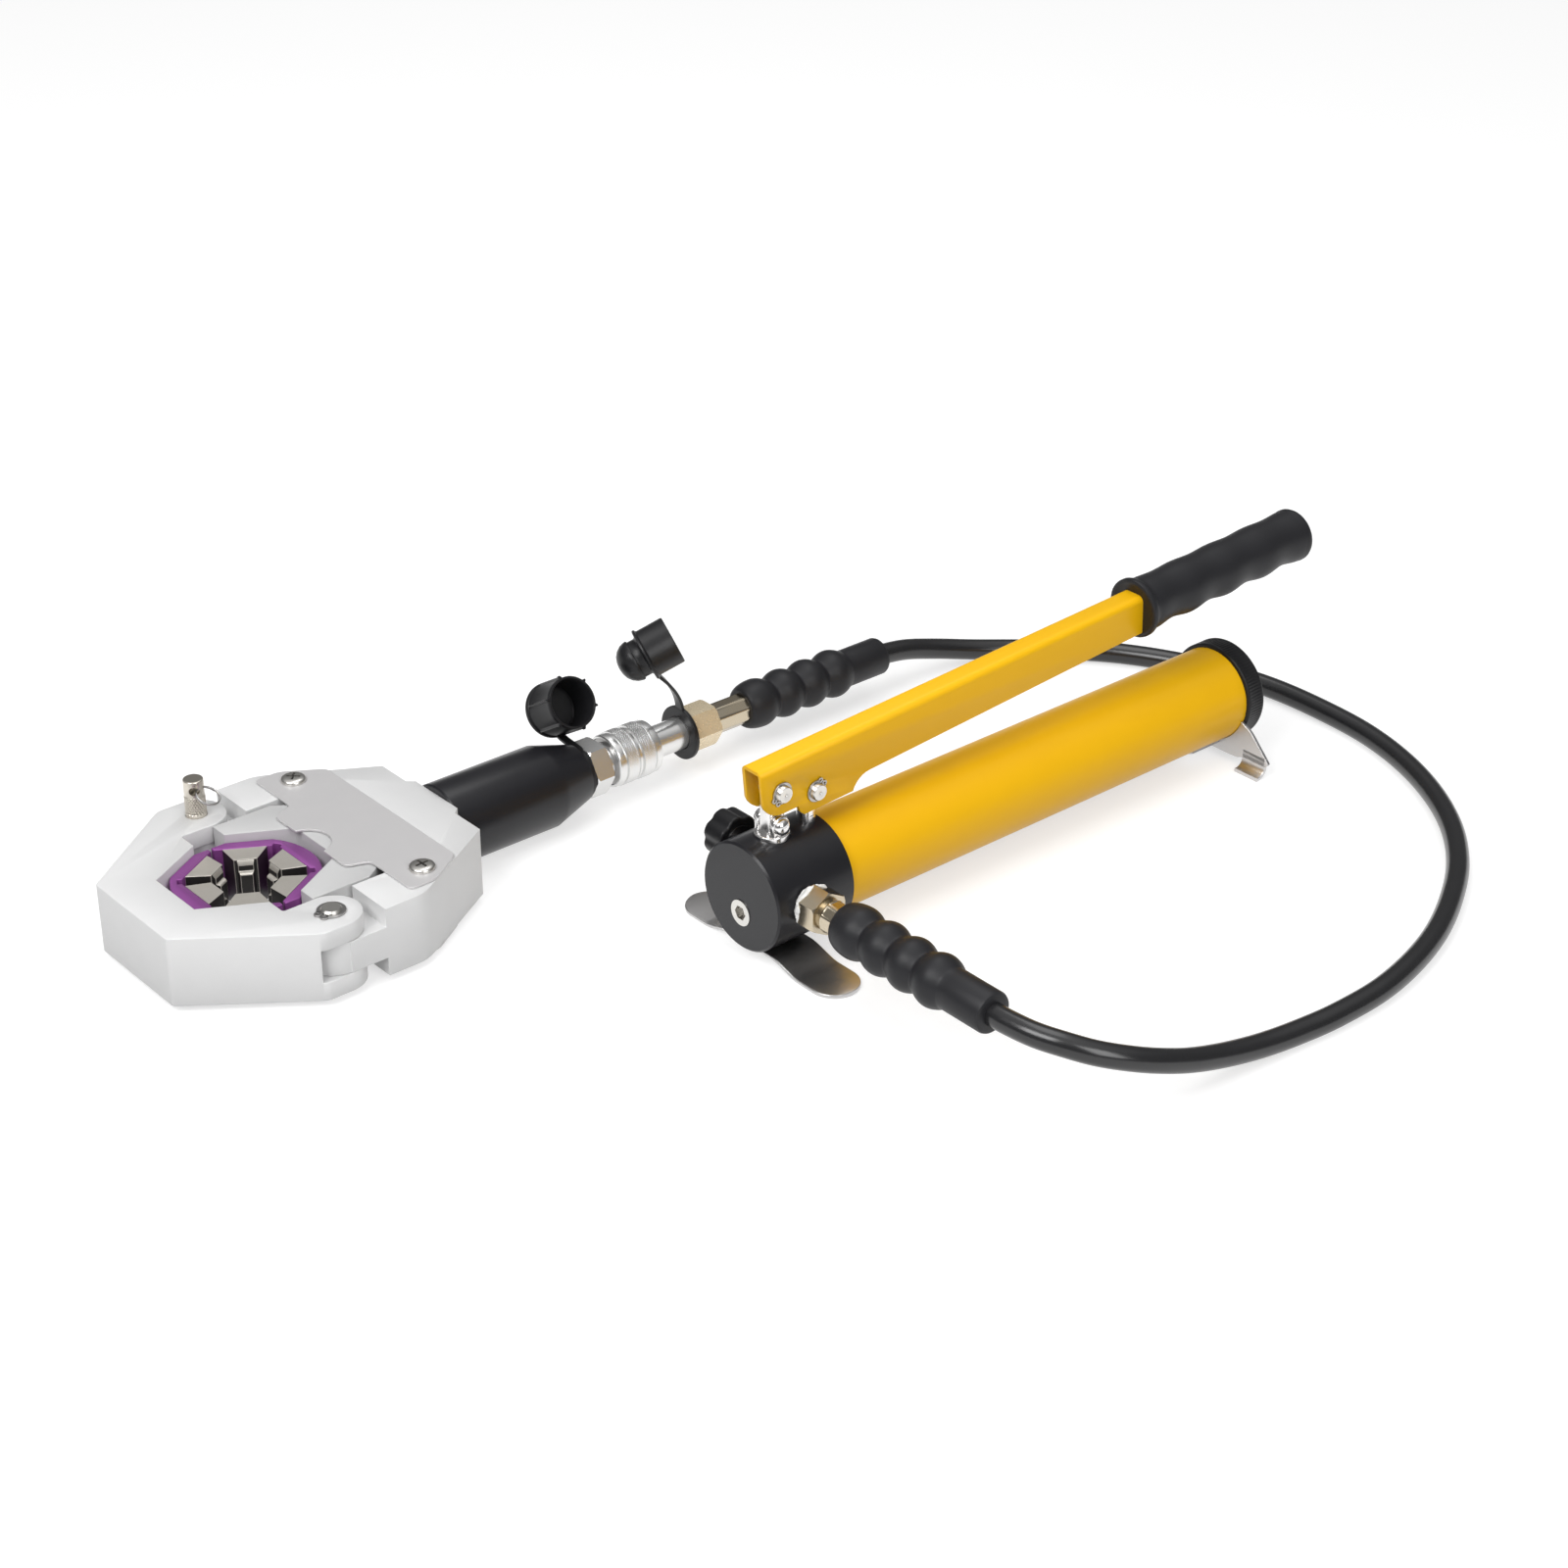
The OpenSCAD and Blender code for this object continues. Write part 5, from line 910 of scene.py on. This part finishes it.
def make_hinge():
    half, r, mouth, clip_gap = 24.5, 6.3, -78, 0.1
    end = [(0.5, 0.3), (5.3, 0.3), (r, -0.8)]
    pin = bar("hinge_bar", half, end, spot(middle("hinge_pin"), UP, ALONG))
    place_on(pin, LOOK["screw"], "base", "fastener_steel", "hinge_pin")
    clips = []
    for sign in SIDES:
        place = spot(at(HEAD, PIN_X, 0, sign * (FACE_Z + clip_gap)), sign * UP, ALONG)
        turn = turned(mouth if sign > 0 else 180 - mouth)
        clips.append(ring_clip("clip", place @ turn, r_in=5.6, r_out=8.4, lug_r=2.4, hole_r=1.0))
    place_on(join("hinge_rings", clips), LOOK["spring"], "base", "spring_steel", "hinge_clips")


def make_pull_pin():
    r, foot, top, neck_r, neck_bore, neck_edge = 6.3, 10.6, 45.8, 6.05, 3, 0.9
    knurl_start, knurl_end, ridges, deep, slant, rim = 24, 35.0, 22, 0.42, 1.7, 0.05
    first_row, row_step, row_count = 24.1, 0.18, 61
    hole_off, hole_z, hole_r, hole_reach = 3.2, 39.8, 2.6, 9
    ring_r, wire_r, ring_az, ring_tilt, ring_pitch, ring_turns, ring_steps = 7.2, 0.55, 25, -62, 1.1, 2, 120
    pitch = slant * TURN * r / ridges

    def knurl(angle, radius, z):
        knurled = radius > r - rim and knurl_start < z < knurl_end
        return -deep * (1 - diamond(angle, z, ridges, pitch)) if knurled else 0

    lower = [(neck_bore, foot), (r - 0.8, foot), (r, foot + 0.8), (r, 22), (r, 23.8)]
    lower += [(r, first_row + row_step * i) for i in range(row_count)]
    lower += [(r - 0.3, knurl_end + 0.2), (r - 0.5, knurl_end + 0.6), (neck_bore, knurl_end + 0.6)]
    neck = [(neck_bore, knurl_end), (neck_r, knurl_end), (neck_r, top), (neck_bore, top), (1, top)]
    place = spot(at(HEAD, -PIN_X, 0, 0), UP, ALONG)
    seat = place @ turned(ring_az) @ shift(hole_off, 0, hole_z)
    drill = lathe("tool", [(hole_r, -hole_reach), (hole_r, hole_reach)], seat @ turned(90, "X"), segments=32)
    head = cut(lathe("head", rounded(neck, neck_edge), place, segments=64), drill)
    shank = lathe("shank", lower, place, segments=220, shape=knurl, smooth_angle=KNURL_ANGLE)
    place_on(join("pull_pin_bar", [shank, head]), LOOK["pin"], "pull_pin", "fastener_steel", "pull_pin")

    coil = seat @ turned(ring_tilt, "Y") @ shift(0, 0, -ring_r)
    path = []
    for i in range(ring_steps + 1):
        a = ring_turns * TURN * i / ring_steps
        aside = ring_pitch * i / ring_steps - ring_pitch / 2
        path.append(coil @ Vector((aside, ring_r * math.cos(a), ring_r * math.sin(a))))
    ring = tube("split_ring", path, wire_r * MM)
    place_on(ring, LOOK["spring"], "pull_ring", "spring_steel", "pull_ring")


# Carried-over nodes: material, and edge radius in millimetres where the edges are rounded

CARRIED = {
    "aluminium": {"head_body": 0.8, "head_yoke": 0.8},
    "ram": {"ram": 0.6},
    "black": {"pump_head": 0, "cylinder_barrel": 0},
    "yellow": {"reservoir_tube": 0, "lever": 0.35},
    "chrome": {"plunger": 0, "release_stem": 0, "piston": 0},
    "nickel": {"coupler_plug": 0, "coupler_socket": 0},
    "zinc": {"pump_fitting": 0, "suction_tube": 0},
    "gold": {"head_nut": 0},
    "purple": {"front_die_carrier": 0.5, "rear_die_carrier": 0.5},
    "screw": {"front_stand_screws": 0, "rear_stand_screw": 0, "relief_plug": 0},
    "spring": {"sleeve_ring": 0, "relief_spring": 0, "check_springs": 0, "return_spring": 0,
               "sleeve_spring": 0, "relief_ball": 0, "check_balls": 0, "coupler_balls": 0},
    "cap_rubber": {"cap_seal": 0, "plunger_seal": 0, "piston_seal": 0},
}


def dress_carried():
    for key, nodes in CARRIED.items():
        for node, edge in nodes.items():
            dress(soften(node, edge * MM) if edge else crisp(node), LOOK[key])


# Stage, light and camera

LENS, SENSOR = 69.25, 36
CAMERA_AWAY = Vector((1.1241, -0.9346, 0.9239))
CAMERA_YAW, CAMERA_PITCH, CAMERA_ROLL = 49.31, 28.977, 0.19
FLOOR_HALF, FLOOR_GREY, FLOOR_GLOW = 400, 0.5, 0.6
WALLS = ((0.0, 0.14), (0.55, 0.18), (1.0, 1.0))
LAMPS = {
    "key": ((0.3, -1.9, 2.0), (1.6, 1.2), 44),
    "fill": ((2.2, -0.4, 1.4), (1.2, 1.6), 27),
    "top": ((-0.4, 0.5, 2.3), (0.9, 1.8), 10),
}


def make_camera():
    data = bpy.data.cameras.new("camera")
    data.lens = LENS
    data.sensor_width = SENSOR
    camera = bpy.data.objects.new("camera", data)
    turn = turned(CAMERA_YAW) @ turned(90 - CAMERA_PITCH, "X") @ turned(CAMERA_ROLL)
    camera.matrix_world = Matrix.Translation(Vector((PUMP.x, PUMP.y, 0)) + CAMERA_AWAY) @ turn
    bpy.context.scene.collection.objects.link(camera)
    bpy.context.scene.camera = camera


def make_floor():
    corners = [(x * FLOOR_HALF, y * FLOOR_HALF, 0) for x, y in ((-1, -1), (1, -1), (1, 1), (-1, 1))]
    floor = add_mesh("floor", corners, [(0, 1, 2, 3)])
    material = bpy.data.materials.new("floor_white")
    material.use_nodes = True
    material.node_tree.nodes.clear()
    output = node_of(material, "ShaderNodeOutputMaterial")
    diffuse = node_of(material, "ShaderNodeBsdfDiffuse")
    diffuse.inputs["Color"].default_value = (FLOOR_GREY, FLOOR_GREY, FLOOR_GREY, 1)
    glow = node_of(material, "ShaderNodeEmission")
    rays = node_of(material, "ShaderNodeLightPath")
    seen = node_of(material, "ShaderNodeMath", operation="MAXIMUM")
    through = node_of(material, "ShaderNodeMath", operation="MAXIMUM")
    strength = node_of(material, "ShaderNodeMath", operation="MULTIPLY")
    strength.inputs[1].default_value = FLOOR_GLOW
    both = node_of(material, "ShaderNodeAddShader")
    link(material, rays.outputs["Is Camera Ray"], seen.inputs[0])
    link(material, rays.outputs["Is Glossy Ray"], seen.inputs[1])
    link(material, seen.outputs[0], through.inputs[0])
    link(material, rays.outputs["Is Transmission Ray"], through.inputs[1])
    link(material, through.outputs[0], strength.inputs[0])
    link(material, strength.outputs[0], glow.inputs["Strength"])
    link(material, diffuse.outputs[0], both.inputs[0])
    link(material, glow.outputs[0], both.inputs[1])
    link(material, both.outputs[0], output.inputs["Surface"])
    dress(floor, material)


def add_lamp(name, place, size, power):
    data = bpy.data.lights.new(name, "AREA")
    data.shape = "RECTANGLE"
    data.size, data.size_y = size
    data.energy = power
    lamp = bpy.data.objects.new(name, data)
    aim = (-Vector(place)).to_track_quat("-Z", "Y").to_matrix().to_4x4()
    lamp.matrix_world = Matrix.Translation(place) @ aim
    bpy.context.scene.collection.objects.link(lamp)


def make_light():
    world = bpy.data.worlds.new("studio")
    world.use_nodes = True
    background = world.node_tree.nodes["Background"]
    coords = node_of(world, "ShaderNodeTexCoord")
    parts = node_of(world, "ShaderNodeSeparateXYZ")
    ramp = node_of(world, "ShaderNodeValToRGB")
    stops = ramp.color_ramp.elements
    stops.new(WALLS[1][0])
    for stop, (height, grey) in zip(stops, WALLS):
        stop.position = height
        stop.color = (grey, grey, grey, 1)
    link(world, coords.outputs["Generated"], parts.inputs[0])
    link(world, parts.outputs["Z"], ramp.inputs["Fac"])
    link(world, ramp.outputs["Color"], background.inputs["Color"])
    bpy.context.scene.world = world
    for name, (place, size, power) in LAMPS.items():
        add_lamp(name, place, size, power)


make_camera()
make_hose()
make_front_stand()
make_rear_stand()
make_fulcrum()
make_lever_pins()
make_lever_grip()
make_knob()
make_cap()
make_tape()
make_sleeve()
make_socket_cap()
make_plug_cap()
make_jaws()
make_cover_plates()
make_cover_screws()
make_hinge()
make_pull_pin()
dress_carried()
make_floor()
make_light()
bpy.context.scene.view_settings.view_transform = "Standard"
